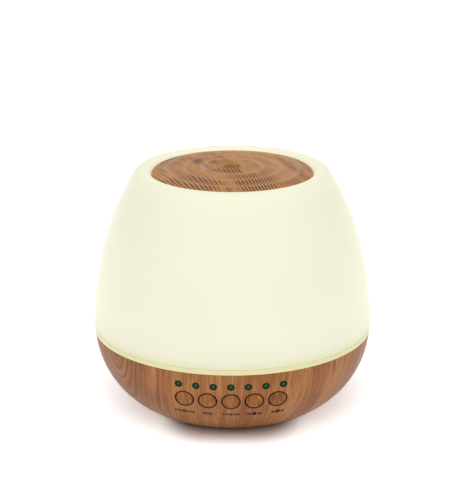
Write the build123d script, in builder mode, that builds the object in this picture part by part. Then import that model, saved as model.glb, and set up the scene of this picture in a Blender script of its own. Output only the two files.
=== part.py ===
"""Essential oil diffuser: wood-look bowl, glowing cover, ultrasonic water tank.

Millimetres, +Z up, origin at the centre of the feet's contact plane.
The buttons and indicator lights face -Y, the power inlet faces +Y.
"""

import os
from math import cos, pi, radians, sin, sqrt

from build123d import *

os.makedirs("parts", exist_ok=True)

# ---- heights, from the table up ----
FOOT_PROUD = 1.5
BASE_Z = FOOT_PROUD
FLOOR_TOP_Z = 4.0
RIM_Z = 47.4
DECK_Z = 48.1
BAND_TOP_Z = 50.6
CUP_RIM_Z = 100.0
LEDGE_Z = 141.0
LIP_END_Z = 143.2
DISC_TOP_Z = 145.3
CREST_Z = 146.3

# ---- outer shape: bowl arc, then two tangent arcs of the cover's side ----
BODY_R = 84.0
BOWL_CENTRE_R = 28.98
BOWL_CENTRE_Z = 50.35
BOWL_ARC_R = 54.8
BULGE_CENTRE_R = -127.6
BULGE_CENTRE_Z = 47.0
BULGE_ARC_R = 211.6
SHOULDER_CENTRE_R = -83.4
SHOULDER_CENTRE_Z = 57.2
SHOULDER_ARC_R = 166.3
ARC_CHANGE_Z = 94.6
SHOULDER_Z = 142.6
CREST_R = 52.8
DISC_SEAT_R = 48.6

# ---- walls and edges ----
BASE_WALL = 2.5
COVER_WALL = 2.2
EDGE_ROUND = 0.4
OPENING_R = 50.0
BOTTOM_COVER_R = 49.7

# ---- top disc ----
DISC_R = 48.3
DISC_ROUND = 2.0
MIST_HOLE_R = 5.0
MIST_HOLE_ROUND = 0.6
DISC_RISE = 2.6
RIPPLE_CREST_R = 7.3
RIPPLE_PITCH = 10.7
RIPPLE_HEIGHT = 0.42

# ---- front panel ----
BUTTON_PITCH = 13.4
BUTTON_Z = 29.6
BUTTON_R = 4.9
BUTTON_HOLE_R = 5.6
LIGHT_PITCH = 10.0
LIGHT_COUNT = 7
LIGHT_Z = 39.7
LIGHT_R = 1.75
LIGHT_HOLE_R = 2.05
PANEL_Y = 60.0
BOARD_T = 1.6
PANEL_BOSS_X = 37.0
PANEL_BOSS_Z = 33.0
BRACKET_EAR_T = 2.0

# ---- tank, riser and piezo ----
CUP_R = 55.0
CUP_WALL = 2.2
SKIRT_R = (78.5, 80.5)
SKIRT_LOW_Z = 43.4
UPSTAND_R = (79.1, 81.3)
UPSTAND_TOP_Z = 55.0
RIB_PROUD = 0.6
RIB_HEIGHT = 0.8
RISER_Y = 42.0
RISER_R = 8.0
RISER_BORE_R = 6.0
RISER_TOP_Z = 96.0
RISER_LOW_Z = 40.0
PIEZO_R = 10.0
PIEZO_Z = 45.0
PIEZO_T = 1.2
PIEZO_BOSS_Z = 43.1

# ---- fan ----
FAN_SIZE = 50.0
FAN_LOW_Z = 5.0
FAN_TOP_Z = 20.0
FAN_BORE_R = 23.4
FAN_HOLE = 20.0
SHAFT_R = 1.5
SHAFT_CLEARANCE = 0.04

# ---- driver board ----
DRIVER_LOW_Z = 32.0
DRIVER_TOP_Z = DRIVER_LOW_Z + BOARD_T

# ---- power inlet ----
JACK_Z = 22.0
JACK_PANEL_Y = 69.0
JACK_NOSE_Y = 71.5
JACK_BORE_R = 2.9
JACK_PIN_R = 1.05
JACK_ROOT_R = 1.3
JACK_PIN_END_Y = 70.5

# ---- fasteners: shank radius, head radius, head height ----
BODY_SCREW = (1.5, 2.8, 1.2)
TANK_SCREW = (1.5, 2.8, 1.8)
SMALL_SCREW = (1.4, 2.2, 1.6)
PANEL_SCREW = (1.25, 2.2, 1.5)
TINY_SCREW = (1.0, 2.0, 1.5)

CORNERS = 45.0


def on_arc(centre_r, centre_z, radius, z):
    """Point (r, z) of a circle in the section plane, on its outer side."""
    return (centre_r + sqrt(radius**2 - (z - centre_z) ** 2), z)


def bowl_point(inset, z):
    return on_arc(BOWL_CENTRE_R, BOWL_CENTRE_Z, BOWL_ARC_R - inset, z)


def bulge_point(inset, z):
    return on_arc(BULGE_CENTRE_R, BULGE_CENTRE_Z, BULGE_ARC_R - inset, z)


def shoulder_point(inset, z):
    return on_arc(SHOULDER_CENTRE_R, SHOULDER_CENTRE_Z, SHOULDER_ARC_R - inset, z)


def bowl_section(inset, low, high):
    """Half section of the space inside the bowl's outer surface, inset from it."""
    with BuildSketch(Plane.XZ) as section:
        with BuildLine():
            Polyline((0, high), (0, low), bowl_point(inset, low))
            ThreePointArc(
                bowl_point(inset, low),
                bowl_point(inset, (low + high) / 2),
                bowl_point(inset, high),
            )
            Line(bowl_point(inset, high), (0, high))
        make_face()
    return section.sketch


def ring_section(inner, outer, low, high):
    """Half section of a plain ring."""
    with BuildSketch(Plane.XZ) as section:
        with Locations(((inner + outer) / 2, (low + high) / 2)):
            Rectangle(outer - inner, high - low)
    return section.sketch


def front_plane(y):
    """Plane at -y, facing the front."""
    return Plane.XZ.offset(y)


def finish(part, name):
    """Label a finished piece and write it to its own STEP file."""
    part.label = name
    export_step(part, f"parts/{name}.step")


SCREW_CHAMFER = 0.3
CROSS_LENGTH = 1.1
CROSS_WIDTH = 0.28
HOLE_EASE = 0.1
WIDE_EASE = 0.2


def screws(places, seat_z, tip_z, size, head_up):
    """Round-headed screws along Z, heads outside the seat plane."""
    shank, head, head_height = size
    with BuildPart() as group:
        with BuildSketch(Plane.XY.offset(min(seat_z, tip_z))):
            with Locations(*places):
                Circle(shank)
        extrude(amount=abs(seat_z - tip_z))
        with BuildSketch(Plane.XY.offset(seat_z)):
            with Locations(*places):
                Circle(head)
        extrude(amount=head_height if head_up else -head_height)
        outer_z = seat_z + (head_height if head_up else -head_height)
        rims = group.edges().filter_by(GeomType.CIRCLE).filter_by_position(
            Axis.Z, outer_z - 0.01, outer_z + 0.01
        )
        chamfer(rims, SCREW_CHAMFER)
        with BuildSketch(Plane.XY.offset(outer_z)):
            with Locations(*places):
                Rectangle(head * CROSS_LENGTH, head * CROSS_WIDTH)
                Rectangle(head * CROSS_WIDTH, head * CROSS_LENGTH)
        extrude(amount=-head_height * 0.5 if head_up else head_height * 0.5, mode=Mode.SUBTRACT)
    return group.part


def lead(points, radius, bend):
    """One round wire along straight runs joined by arcs."""
    with BuildPart() as wire:
        with BuildLine() as path:
            FilletPolyline(*points, radius=bend)
        with BuildSketch(Plane(origin=path.line @ 0, z_dir=path.line % 0)):
            Circle(radius)
        sweep(path=path.line)
    return wire.part


BUTTON_NAMES = ["power", "high_mist", "low_mist", "light", "timer"]
BUTTON_X = [(i - 2) * BUTTON_PITCH for i in range(len(BUTTON_NAMES))]
LIGHT_X = [(i - (LIGHT_COUNT - 1) / 2) * LIGHT_PITCH for i in range(LIGHT_COUNT)]

FOOT_CIRCLE_R = 43.0
FOOT_R = 5.0
BODY_SCREW_CIRCLE_R = 45.0
TANK_SCREW_CIRCLE_R = 71.0
DRIVER_SCREWS = [(-25, -30), (25, -30), (-25, 24), (25, 24)]
FAN_SCREWS = [(sx * FAN_HOLE, sy * FAN_HOLE) for sx in (-1, 1) for sy in (-1, 1)]


def circle_places(radius, count, start):
    """Points spread round a circle in the XY plane, the first at angle start."""
    angles = [radians(start + i * 360 / count) for i in range(count)]
    return [(radius * cos(angle), radius * sin(angle)) for angle in angles]


BODY_SCREWS = circle_places(BODY_SCREW_CIRCLE_R, 4, CORNERS)
TANK_SCREWS = circle_places(TANK_SCREW_CIRCLE_R, 4, CORNERS)
FEET = circle_places(FOOT_CIRCLE_R, 4, 0)

# =====================================================================
# Base shell: the wood-look bowl with its bosses, button and light holes
# =====================================================================
LOW_EAR_TOP_Z = 14.0
TANK_EAR_LOW_Z = 27.0
TANK_EAR_TOP_Z = 31.0
PANEL_BOSS_Y = PANEL_Y + BRACKET_EAR_T
SEAL_GROOVE = (81.9, 82.9)
SEAL_LOW_Z = 46.5
REACH = 40.0
LOW_EAR_R = 3.5
LOW_EAR_RIB = (24.0, 3.0)
TANK_EAR_R = 4.5
TANK_EAR_RIB = (12.0, 9.0)
LOW_PILOT_DEPTH = 8.5
PANEL_PILOT_DEPTH = 6.0
PANEL_BOSS_R = 3.0
JACK_BOSS_R = 8.5
JACK_RECESS_R = 6.5
JACK_HOLE_R = 4.1
JACK_PANEL_T = 3.0

BOWL_MID_Z = 20.0
LOW_EDGE_ROUND = 0.8

with BuildPart() as base_shell:
    # bosses and their ribs, first as straight posts that run past the wall
    with BuildSketch(Plane.XY.offset(FLOOR_TOP_Z)):
        with Locations(*BODY_SCREWS):
            Circle(LOW_EAR_R)
        rib_r = BODY_SCREW_CIRCLE_R + LOW_EAR_RIB[0] / 2
        with PolarLocations(rib_r, 4, start_angle=CORNERS):
            Rectangle(*LOW_EAR_RIB)
    extrude(amount=LOW_EAR_TOP_Z - FLOOR_TOP_Z)
    with BuildSketch(Plane.XY.offset(TANK_EAR_LOW_Z)):
        with Locations(*TANK_SCREWS):
            Circle(TANK_EAR_R)
        rib_r = TANK_SCREW_CIRCLE_R + TANK_EAR_RIB[0] / 2
        with PolarLocations(rib_r, 4, start_angle=CORNERS):
            Rectangle(*TANK_EAR_RIB)
    extrude(amount=TANK_EAR_TOP_Z - TANK_EAR_LOW_Z)
    with BuildSketch(front_plane(PANEL_BOSS_Y)):
        with Locations((-PANEL_BOSS_X, PANEL_BOSS_Z), (PANEL_BOSS_X, PANEL_BOSS_Z)):
            Circle(PANEL_BOSS_R)
    extrude(amount=REACH)
    with BuildSketch(front_plane(-(JACK_PANEL_Y - JACK_PANEL_T))):
        with Locations((0, JACK_Z)):
            Circle(JACK_BOSS_R)
    extrude(amount=-REACH)
    revolve(bowl_section(1.0, BASE_Z, RIM_Z - 1), axis=Axis.Z, mode=Mode.INTERSECT)

    # the wall itself, with the rim round the bottom opening
    with BuildSketch(Plane.XZ):
        with BuildLine():
            Line((OPENING_R, BASE_Z), bowl_point(0, BASE_Z))
            ThreePointArc(bowl_point(0, BASE_Z), bowl_point(0, BOWL_MID_Z), bowl_point(0, RIM_Z))
            Line(bowl_point(0, RIM_Z), bowl_point(BASE_WALL, RIM_Z))
            ThreePointArc(
                bowl_point(BASE_WALL, RIM_Z),
                bowl_point(BASE_WALL, BOWL_MID_Z),
                bowl_point(BASE_WALL, FLOOR_TOP_Z),
            )
            Polyline(
                bowl_point(BASE_WALL, FLOOR_TOP_Z),
                (OPENING_R, FLOOR_TOP_Z),
                (OPENING_R, BASE_Z),
            )
        make_face()
    revolve(axis=Axis.Z)
    outer_edges = base_shell.edges().filter_by(GeomType.CIRCLE)
    top_edge = outer_edges.filter_by_position(Axis.Z, RIM_Z - 0.01, RIM_Z + 0.01)
    fillet(top_edge.sort_by(SortBy.RADIUS)[-1], EDGE_ROUND)
    low_edge = outer_edges.filter_by_position(Axis.Z, BASE_Z - 0.01, BASE_Z + 0.01)
    fillet(low_edge.sort_by(SortBy.RADIUS)[-1], LOW_EDGE_ROUND)
    # groove for the seal in the top rim
    revolve(ring_section(*SEAL_GROOVE, SEAL_LOW_Z, RIM_Z + 1), axis=Axis.Z, mode=Mode.SUBTRACT)

    # round windows for the buttons and lights, cut straight from the front
    with BuildSketch(front_plane(PANEL_Y + 5)):
        with Locations(*[(x, BUTTON_Z) for x in BUTTON_X]):
            Circle(BUTTON_HOLE_R)
        with Locations(*[(x, LIGHT_Z) for x in LIGHT_X]):
            Circle(LIGHT_HOLE_R)
    extrude(amount=REACH, mode=Mode.SUBTRACT)

    # pilot and clearance holes
    with BuildSketch(Plane.XY.offset(FLOOR_TOP_Z)):
        with Locations(*BODY_SCREWS):
            Circle(BODY_SCREW[0])
    extrude(amount=LOW_PILOT_DEPTH, mode=Mode.SUBTRACT)
    with BuildSketch(Plane.XY.offset(TANK_EAR_LOW_Z)):
        with Locations(*TANK_SCREWS):
            Circle(TANK_SCREW[0] + WIDE_EASE)
    extrude(amount=TANK_EAR_TOP_Z - TANK_EAR_LOW_Z, mode=Mode.SUBTRACT)
    with BuildSketch(front_plane(PANEL_BOSS_Y)):
        with Locations((-PANEL_BOSS_X, PANEL_BOSS_Z), (PANEL_BOSS_X, PANEL_BOSS_Z)):
            Circle(PANEL_SCREW[0])
    extrude(amount=PANEL_PILOT_DEPTH, mode=Mode.SUBTRACT)

    # recess and hole for the power inlet
    with BuildSketch(front_plane(-JACK_PANEL_Y)):
        with Locations((0, JACK_Z)):
            Circle(JACK_RECESS_R)
    extrude(amount=-REACH, mode=Mode.SUBTRACT)
    with BuildSketch(front_plane(-(JACK_PANEL_Y - JACK_PANEL_T))):
        with Locations((0, JACK_Z)):
            Circle(JACK_HOLE_R)
    extrude(amount=-JACK_PANEL_T, mode=Mode.SUBTRACT)
finish(base_shell.part, "base_shell")

# =====================================================================
# Bottom: cover with its intake grille, screws and feet
# =====================================================================
GRILLE_RINGS = [(6.0, 9.0), (11.0, 14.0), (16.0, 19.0), (21.0, 23.4)]
GRILLE_SPOKES = 3
FOOT_POCKET = 0.5
FAN_PAD_R = 4.0

SPOKE_WIDTH = 2.4
FOOT_EASE = 0.05
FAN_PILOT_DEPTH = 2.2
BODY_SCREW_TIP_Z = 12.0

with BuildPart() as bottom_cover:
    with BuildSketch(Plane.XY.offset(BASE_Z)):
        Circle(BOTTOM_COVER_R)
    extrude(amount=FLOOR_TOP_Z - BASE_Z)
    rim = bottom_cover.edges().filter_by_position(Axis.Z, BASE_Z - 0.01, BASE_Z + 0.01)
    chamfer(rim, EDGE_ROUND)
    with BuildSketch(Plane.XY.offset(FLOOR_TOP_Z)):
        with Locations(*FAN_SCREWS):
            Circle(FAN_PAD_R)
    extrude(amount=FAN_LOW_Z - FLOOR_TOP_Z)
    with BuildSketch(Plane.XY.offset(BASE_Z)):
        for inner, outer in reversed(GRILLE_RINGS):
            Circle(outer)
            Circle(inner, mode=Mode.SUBTRACT)
        with PolarLocations(0, GRILLE_SPOKES, angular_range=180):
            Rectangle(2 * BOTTOM_COVER_R, SPOKE_WIDTH, mode=Mode.SUBTRACT)
    extrude(amount=FAN_LOW_Z - BASE_Z, mode=Mode.SUBTRACT)
    with BuildSketch(Plane.XY.offset(FAN_LOW_Z - FAN_PILOT_DEPTH)):
        with Locations(*FAN_SCREWS):
            Circle(SMALL_SCREW[0])
    extrude(amount=FAN_PILOT_DEPTH, mode=Mode.SUBTRACT)
    with BuildSketch(Plane.XY.offset(BASE_Z)):
        with Locations(*BODY_SCREWS):
            Circle(BODY_SCREW[0] + HOLE_EASE)
    extrude(amount=FLOOR_TOP_Z - BASE_Z, mode=Mode.SUBTRACT)
    with BuildSketch(Plane.XY.offset(BASE_Z)):
        with Locations(*BODY_SCREWS):
            Circle(BODY_SCREW[1] + WIDE_EASE)
    extrude(amount=BODY_SCREW[2], mode=Mode.SUBTRACT)
    with BuildSketch(Plane.XY.offset(BASE_Z)):
        with Locations(*FEET):
            Circle(FOOT_R + FOOT_EASE)
    extrude(amount=FOOT_POCKET, mode=Mode.SUBTRACT)
finish(bottom_cover.part, "bottom_cover")

finish(screws(BODY_SCREWS, BASE_Z + BODY_SCREW[2], BODY_SCREW_TIP_Z, BODY_SCREW, False), "bottom_screws")

with BuildPart() as rubber_feet:
    with BuildSketch(Plane.XY):
        with Locations(*FEET):
            Circle(FOOT_R)
    extrude(amount=FOOT_PROUD + FOOT_POCKET)
    soles = rubber_feet.edges().filter_by_position(Axis.Z, -0.01, 0.01)
    fillet(soles, 0.5)
finish(rubber_feet.part, "rubber_feet")

# =====================================================================
# Water tank: flange band, deck, cup, air riser and mounting posts
# =====================================================================
BAND_INNER_R = 78.0
PIEZO_BOSS_R = (12.6, 14.6)
PIEZO_SCREW_R = 17.5
PIEZO_SCREWS = circle_places(PIEZO_SCREW_R, 3, 30)
PIEZO_WINDOW_R = 8.0
POST_R = 3.0
TANK_POST_R = 4.0
PILOT_DEPTH = 10.5
SMALL_PILOT_DEPTH = 4.0
PEG_CIRCLE_R = 62.0
PEG_R = 1.3
PEG_HEAD = (2.2, 1.0)
PEGS = circle_places(PEG_CIRCLE_R, 4, 0)
RING_BOARD_LOW_Z = 44.0
FULL_LEVEL_Z = 92.0

with BuildPart() as water_tank:
    with BuildSketch(Plane.XZ):
        with Locations(((BAND_INNER_R + BODY_R) / 2, (RIM_Z + BAND_TOP_Z) / 2)):
            Rectangle(BODY_R - BAND_INNER_R, BAND_TOP_Z - RIM_Z)
    revolve(axis=Axis.Z)
    band_edges = water_tank.edges().filter_by(GeomType.CIRCLE).group_by(SortBy.RADIUS)[-1]
    fillet(band_edges, EDGE_ROUND)
    revolve(ring_section(0, BAND_INNER_R + 1, DECK_Z, BAND_TOP_Z), axis=Axis.Z)
    # skirt inside the bowl, upstand inside the cover
    revolve(ring_section(*SKIRT_R, SKIRT_LOW_Z, RIM_Z + 1), axis=Axis.Z)
    revolve(ring_section(*UPSTAND_R, BAND_TOP_Z - 1, UPSTAND_TOP_Z), axis=Axis.Z)
    # the cup and its full-level rib
    revolve(ring_section(CUP_R, CUP_R + CUP_WALL, BAND_TOP_Z - 1, CUP_RIM_Z), axis=Axis.Z)
    rib_low_z = FULL_LEVEL_Z - RIB_HEIGHT / 2
    rib = ring_section(CUP_R - RIB_PROUD, CUP_R + 0.5, rib_low_z, rib_low_z + RIB_HEIGHT)
    revolve(rib, axis=Axis.Z)
    # air riser
    with BuildSketch(Plane.XY.offset(RISER_LOW_Z)):
        with Locations((0, RISER_Y)):
            Circle(RISER_R)
    extrude(amount=RISER_TOP_Z - RISER_LOW_Z)
    with BuildSketch(Plane.XY.offset(RISER_LOW_Z)):
        with Locations((0, RISER_Y)):
            Circle(RISER_BORE_R)
    extrude(amount=RISER_TOP_Z - RISER_LOW_Z, mode=Mode.SUBTRACT)
    # bosses and posts under the deck
    with BuildSketch(Plane.XY.offset(PIEZO_BOSS_Z)):
        Circle(PIEZO_BOSS_R[1])
        with Locations(*PIEZO_SCREWS):
            Circle(POST_R)
        Circle(PIEZO_BOSS_R[0], mode=Mode.SUBTRACT)
    extrude(amount=DECK_Z - PIEZO_BOSS_Z)
    with BuildSketch(Plane.XY.offset(DRIVER_TOP_Z)):
        with Locations(*DRIVER_SCREWS):
            Circle(POST_R)
    extrude(amount=DECK_Z - DRIVER_TOP_Z)
    with BuildSketch(Plane.XY.offset(TANK_EAR_TOP_Z)):
        with Locations(*TANK_SCREWS):
            Circle(TANK_POST_R)
    extrude(amount=DECK_Z - TANK_EAR_TOP_Z)
    with BuildSketch(Plane.XY.offset(RING_BOARD_LOW_Z)):
        with Locations(*PEGS):
            Circle(PEG_R)
    extrude(amount=DECK_Z - RING_BOARD_LOW_Z)
    with BuildSketch(Plane.XY.offset(RING_BOARD_LOW_Z - PEG_HEAD[1])):
        with Locations(*PEGS):
            Circle(PEG_HEAD[0])
    extrude(amount=PEG_HEAD[1])
    # the piezo's opening in the floor, and pilot holes
    with BuildSketch(Plane.XY.offset(DECK_Z)):
        Circle(PIEZO_WINDOW_R)
    extrude(amount=BAND_TOP_Z - DECK_Z, mode=Mode.SUBTRACT)
    with BuildSketch(Plane.XY.offset(PIEZO_BOSS_Z)):
        with Locations(*PIEZO_SCREWS):
            Circle(TINY_SCREW[0])
    extrude(amount=SMALL_PILOT_DEPTH, mode=Mode.SUBTRACT)
    with BuildSketch(Plane.XY.offset(DRIVER_TOP_Z)):
        with Locations(*DRIVER_SCREWS):
            Circle(SMALL_SCREW[0])
    extrude(amount=PILOT_DEPTH, mode=Mode.SUBTRACT)
    with BuildSketch(Plane.XY.offset(TANK_EAR_TOP_Z)):
        with Locations(*TANK_SCREWS):
            Circle(TANK_SCREW[0])
    extrude(amount=PILOT_DEPTH, mode=Mode.SUBTRACT)
finish(water_tank.part, "water_tank")

TANK_SCREW_TIP_Z = 41.0
finish(screws(TANK_SCREWS, TANK_EAR_LOW_Z, TANK_SCREW_TIP_Z, TANK_SCREW, False), "tank_screws")

with BuildPart() as tank_seal:
    revolve(ring_section(*SEAL_GROOVE, SEAL_LOW_Z, RIM_Z), axis=Axis.Z)
finish(tank_seal.part, "tank_seal")

# =====================================================================
# Ultrasonic element, clamped under the tank's floor
# =====================================================================
RETAINER_T = 2.0
RETAINER_LOW_Z = PIEZO_BOSS_Z - RETAINER_T

PIEZO_SEAL_R = (8.2, 12.5)
RETAINER_R = (9.0, 20.5)

with BuildPart() as piezo_disc:
    with BuildSketch(Plane.XY.offset(PIEZO_Z)):
        Circle(PIEZO_R)
    extrude(amount=PIEZO_T)
finish(piezo_disc.part, "piezo_disc")

with BuildPart() as piezo_seal:
    revolve(ring_section(*PIEZO_SEAL_R, PIEZO_BOSS_Z, DECK_Z), axis=Axis.Z)
    groove = ring_section(0, PIEZO_R, PIEZO_Z, PIEZO_Z + PIEZO_T)
    revolve(groove, axis=Axis.Z, mode=Mode.SUBTRACT)
finish(piezo_seal.part, "piezo_seal")

with BuildPart() as piezo_retainer:
    with BuildSketch(Plane.XY.offset(RETAINER_LOW_Z)):
        Circle(RETAINER_R[1])
        Circle(RETAINER_R[0], mode=Mode.SUBTRACT)
        with Locations(*PIEZO_SCREWS):
            Circle(TINY_SCREW[0] + HOLE_EASE, mode=Mode.SUBTRACT)
    extrude(amount=RETAINER_T)
finish(piezo_retainer.part, "piezo_retainer")

PIEZO_SCREW_TIP_Z = 46.5
finish(
    screws(PIEZO_SCREWS, RETAINER_LOW_Z, PIEZO_SCREW_TIP_Z, TINY_SCREW, False),
    "retainer_screws",
)

# =====================================================================
# Driver board under the tank, with its larger components
# =====================================================================
DRIVER_SIZE = (56.0, 60.0)
DRIVER_CENTRE_Y = -3.0

with BuildPart() as driver_board:
    with BuildSketch(Plane.XY.offset(DRIVER_LOW_Z)):
        with Locations((0, DRIVER_CENTRE_Y)):
            RectangleRounded(*DRIVER_SIZE, 2.0)
        with Locations(*DRIVER_SCREWS):
            Circle(SMALL_SCREW[0] + HOLE_EASE, mode=Mode.SUBTRACT)
    extrude(amount=BOARD_T)
finish(driver_board.part, "driver_board")

DRIVER_SCREW_TIP_Z = 43.5
finish(
    screws(DRIVER_SCREWS, DRIVER_LOW_Z, DRIVER_SCREW_TIP_Z, SMALL_SCREW, False),
    "board_screws",
)

INDUCTOR_AT = (-21.5, 12.0)
INDUCTOR_FLANGE = (5.0, 1.2)
INDUCTOR_CORE = (3.9, 4.4)

with BuildPart() as inductor:
    with BuildSketch(Plane.XY.offset(DRIVER_TOP_Z)):
        with Locations(INDUCTOR_AT):
            Circle(INDUCTOR_FLANGE[0])
    extrude(amount=INDUCTOR_FLANGE[1])
    core_z = DRIVER_TOP_Z + INDUCTOR_FLANGE[1]
    with BuildSketch(Plane.XY.offset(core_z)):
        with Locations(INDUCTOR_AT):
            Circle(INDUCTOR_CORE[0])
    extrude(amount=INDUCTOR_CORE[1])
    with BuildSketch(Plane.XY.offset(core_z + INDUCTOR_CORE[1])):
        with Locations(INDUCTOR_AT):
            Circle(INDUCTOR_FLANGE[0])
    extrude(amount=INDUCTOR_FLANGE[1])
finish(inductor.part, "inductor")

# centre, radius and height of each can
CANS = (((-10.0, -28.0), 3.2, 9.0), ((-17.0, -28.0), 2.6, 8.0))
CAN_ROUND = 0.4

with BuildPart() as capacitors:
    for can_at, can_r, can_height in CANS:
        with BuildSketch(Plane.XY.offset(DRIVER_TOP_Z)):
            with Locations(can_at):
                Circle(can_r)
        extrude(amount=can_height)
    can_tops = capacitors.faces().filter_by(Axis.Z).filter_by_position(
        Axis.Z, DRIVER_TOP_Z + 1, DRIVER_TOP_Z + 10
    )
    fillet(can_tops.edges(), CAN_ROUND)
finish(capacitors.part, "capacitors")

SINK_CENTRE = (12.0, -25.5)
SINK_SIZE = (17.0, 7.0, 12.0)
FIN_COUNT = 5
FIN_GAP = 2.2
SINK_BACK_T = 2.4

with BuildPart() as heat_sink:
    with BuildSketch(Plane.XY.offset(DRIVER_TOP_Z)):
        with Locations(SINK_CENTRE):
            Rectangle(SINK_SIZE[0], SINK_SIZE[1])
        with Locations((SINK_CENTRE[0], SINK_CENTRE[1] + SINK_BACK_T / 2)):
            with GridLocations(SINK_SIZE[0] / FIN_COUNT, 1, FIN_COUNT, 1):
                Rectangle(FIN_GAP, SINK_SIZE[1] - SINK_BACK_T, mode=Mode.SUBTRACT)
    extrude(amount=SINK_SIZE[2])
finish(heat_sink.part, "heat_sink")

TRANSISTOR_SIZE = (10.0, 4.0, 10.0)

with BuildPart() as driver_transistor:
    with BuildSketch(Plane.XY.offset(DRIVER_TOP_Z)):
        with Locations((SINK_CENTRE[0], SINK_CENTRE[1] - (SINK_SIZE[1] + TRANSISTOR_SIZE[1]) / 2)):
            Rectangle(TRANSISTOR_SIZE[0], TRANSISTOR_SIZE[1])
    extrude(amount=TRANSISTOR_SIZE[2])
finish(driver_transistor.part, "driver_transistor")

# centre and footprint of each chip
CHIPS = (((-4.0, 4.0), (10.0, 7.5)), ((8.0, -8.0), (5.0, 4.0)))
CHIP_H = 1.8

with BuildPart() as control_chips:
    with BuildSketch(Plane.XY.offset(DRIVER_TOP_Z)):
        for chip_at, chip_size in CHIPS:
            with Locations(chip_at):
                Rectangle(*chip_size)
    extrude(amount=CHIP_H)
finish(control_chips.part, "control_chips")

CONNECTOR_X = 23.0
CONNECTOR_SIZE = (5.0, 7.0)
CONNECTOR_H = 4.5
LED_CONNECTOR_Y = -12.0
PIEZO_CONNECTOR_Y = -2.0
FAN_CONNECTOR_Y = 8.0
JACK_CONNECTOR_Y = 22.0
JACK_CONNECTOR_SIZE = (14.0, 5.0)

with BuildPart() as board_connectors:
    with BuildSketch(Plane.XY.offset(DRIVER_TOP_Z)):
        for connector_y in (LED_CONNECTOR_Y, PIEZO_CONNECTOR_Y, FAN_CONNECTOR_Y):
            with Locations((CONNECTOR_X, connector_y)):
                Rectangle(*CONNECTOR_SIZE)
        with Locations((0, JACK_CONNECTOR_Y)):
            Rectangle(*JACK_CONNECTOR_SIZE)
    extrude(amount=CONNECTOR_H)
finish(board_connectors.part, "board_connectors")

# =====================================================================
# Fan, its duct and screws
# =====================================================================
HUB_CUP_R = 9.0
STRUT_T = 1.5
STRUT_WIDTH = 2.5
FLANGE_T = 3.0
BEARING_R = 2.5
BEARING_TUBE_R = 3.2
BEARING_TUBE_TOP_Z = 15.8
BEARING_LOW_Z = 8.0
BEARING_T = 7.5
STATOR_LOW_Z = 8.5
STATOR_T = 5.0
STATOR_R = 7.0
STATOR_SLOT = (2.6, 1.6)
STATOR_SLOT_R = 5.9
FAN_CORNER = 3.0
BORE_WALL = 1.5

with BuildPart() as fan_housing:
    with BuildSketch(Plane.XY.offset(FAN_LOW_Z)):
        RectangleRounded(FAN_SIZE, FAN_SIZE, FAN_CORNER)
    extrude(amount=FAN_TOP_Z - FAN_LOW_Z)
    # waist between the two flanges
    with BuildSketch(Plane.XY.offset(FAN_LOW_Z + FLANGE_T)):
        Rectangle(FAN_SIZE + 2, FAN_SIZE + 2)
        Circle(FAN_BORE_R + BORE_WALL, mode=Mode.SUBTRACT)
    extrude(amount=FAN_TOP_Z - FAN_LOW_Z - 2 * FLANGE_T, mode=Mode.SUBTRACT)
    with BuildSketch(Plane.XY.offset(FAN_LOW_Z)):
        Circle(FAN_BORE_R)
        with Locations(*FAN_SCREWS):
            Circle(SMALL_SCREW[0] + HOLE_EASE + WIDE_EASE)
    extrude(amount=FAN_TOP_Z - FAN_LOW_Z, mode=Mode.SUBTRACT)
    # hub cup on four struts, with the bearing tube
    with BuildSketch(Plane.XY.offset(FAN_LOW_Z)):
        with PolarLocations(0, 2, angular_range=180):
            Rectangle(2 * FAN_BORE_R + 1, STRUT_WIDTH)
        Circle(HUB_CUP_R)
    extrude(amount=STRUT_T)
    with BuildSketch(Plane.XY.offset(FAN_LOW_Z + STRUT_T)):
        Circle(BEARING_TUBE_R)
        Circle(BEARING_R, mode=Mode.SUBTRACT)
    extrude(amount=BEARING_TUBE_TOP_Z - FAN_LOW_Z - STRUT_T)
finish(fan_housing.part, "fan_housing")

with BuildPart() as fan_bearing:
    with BuildSketch(Plane.XY.offset(BEARING_LOW_Z)):
        Circle(BEARING_R)
        Circle(SHAFT_R + SHAFT_CLEARANCE, mode=Mode.SUBTRACT)
    extrude(amount=BEARING_T)
finish(fan_bearing.part, "fan_bearing")

with BuildPart() as fan_stator:
    with BuildSketch(Plane.XY.offset(STATOR_LOW_Z)):
        Circle(STATOR_R)
        with PolarLocations(STATOR_SLOT_R, 4, start_angle=CORNERS):
            Rectangle(*STATOR_SLOT, mode=Mode.SUBTRACT)
        Circle(BEARING_TUBE_R, mode=Mode.SUBTRACT)
    extrude(amount=STATOR_T)
finish(fan_stator.part, "fan_stator")

HUB_R = 10.0
HUB_INNER_R = 8.7
HUB_LOW_Z = 7.6
HUB_TOP_Z = 18.5
HUB_ROOF_Z = 17.2
BLADE_COUNT = 7
BLADE_T = 1.2
BLADE_MID_Z = 13.0
BLADE_TIP_R = 22.7
HUB_ROUND = 0.8
# radius, chord and pitch angle at the blade's root and tip
BLADE_ROOT = (9.0, 11.0, 50)
BLADE_TIP = (22.3, 13.0, 36)
MAGNET_LOW_Z = 8.0
MAGNET_T = 6.0
MAGNET_BORE_R = 7.7
SHAFT_LOW_Z = 6.9
SHAFT_BOSS_R = 3.0
SHAFT_BOSS_T = 1.0
SHAFT_GRIP = 0.8

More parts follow.
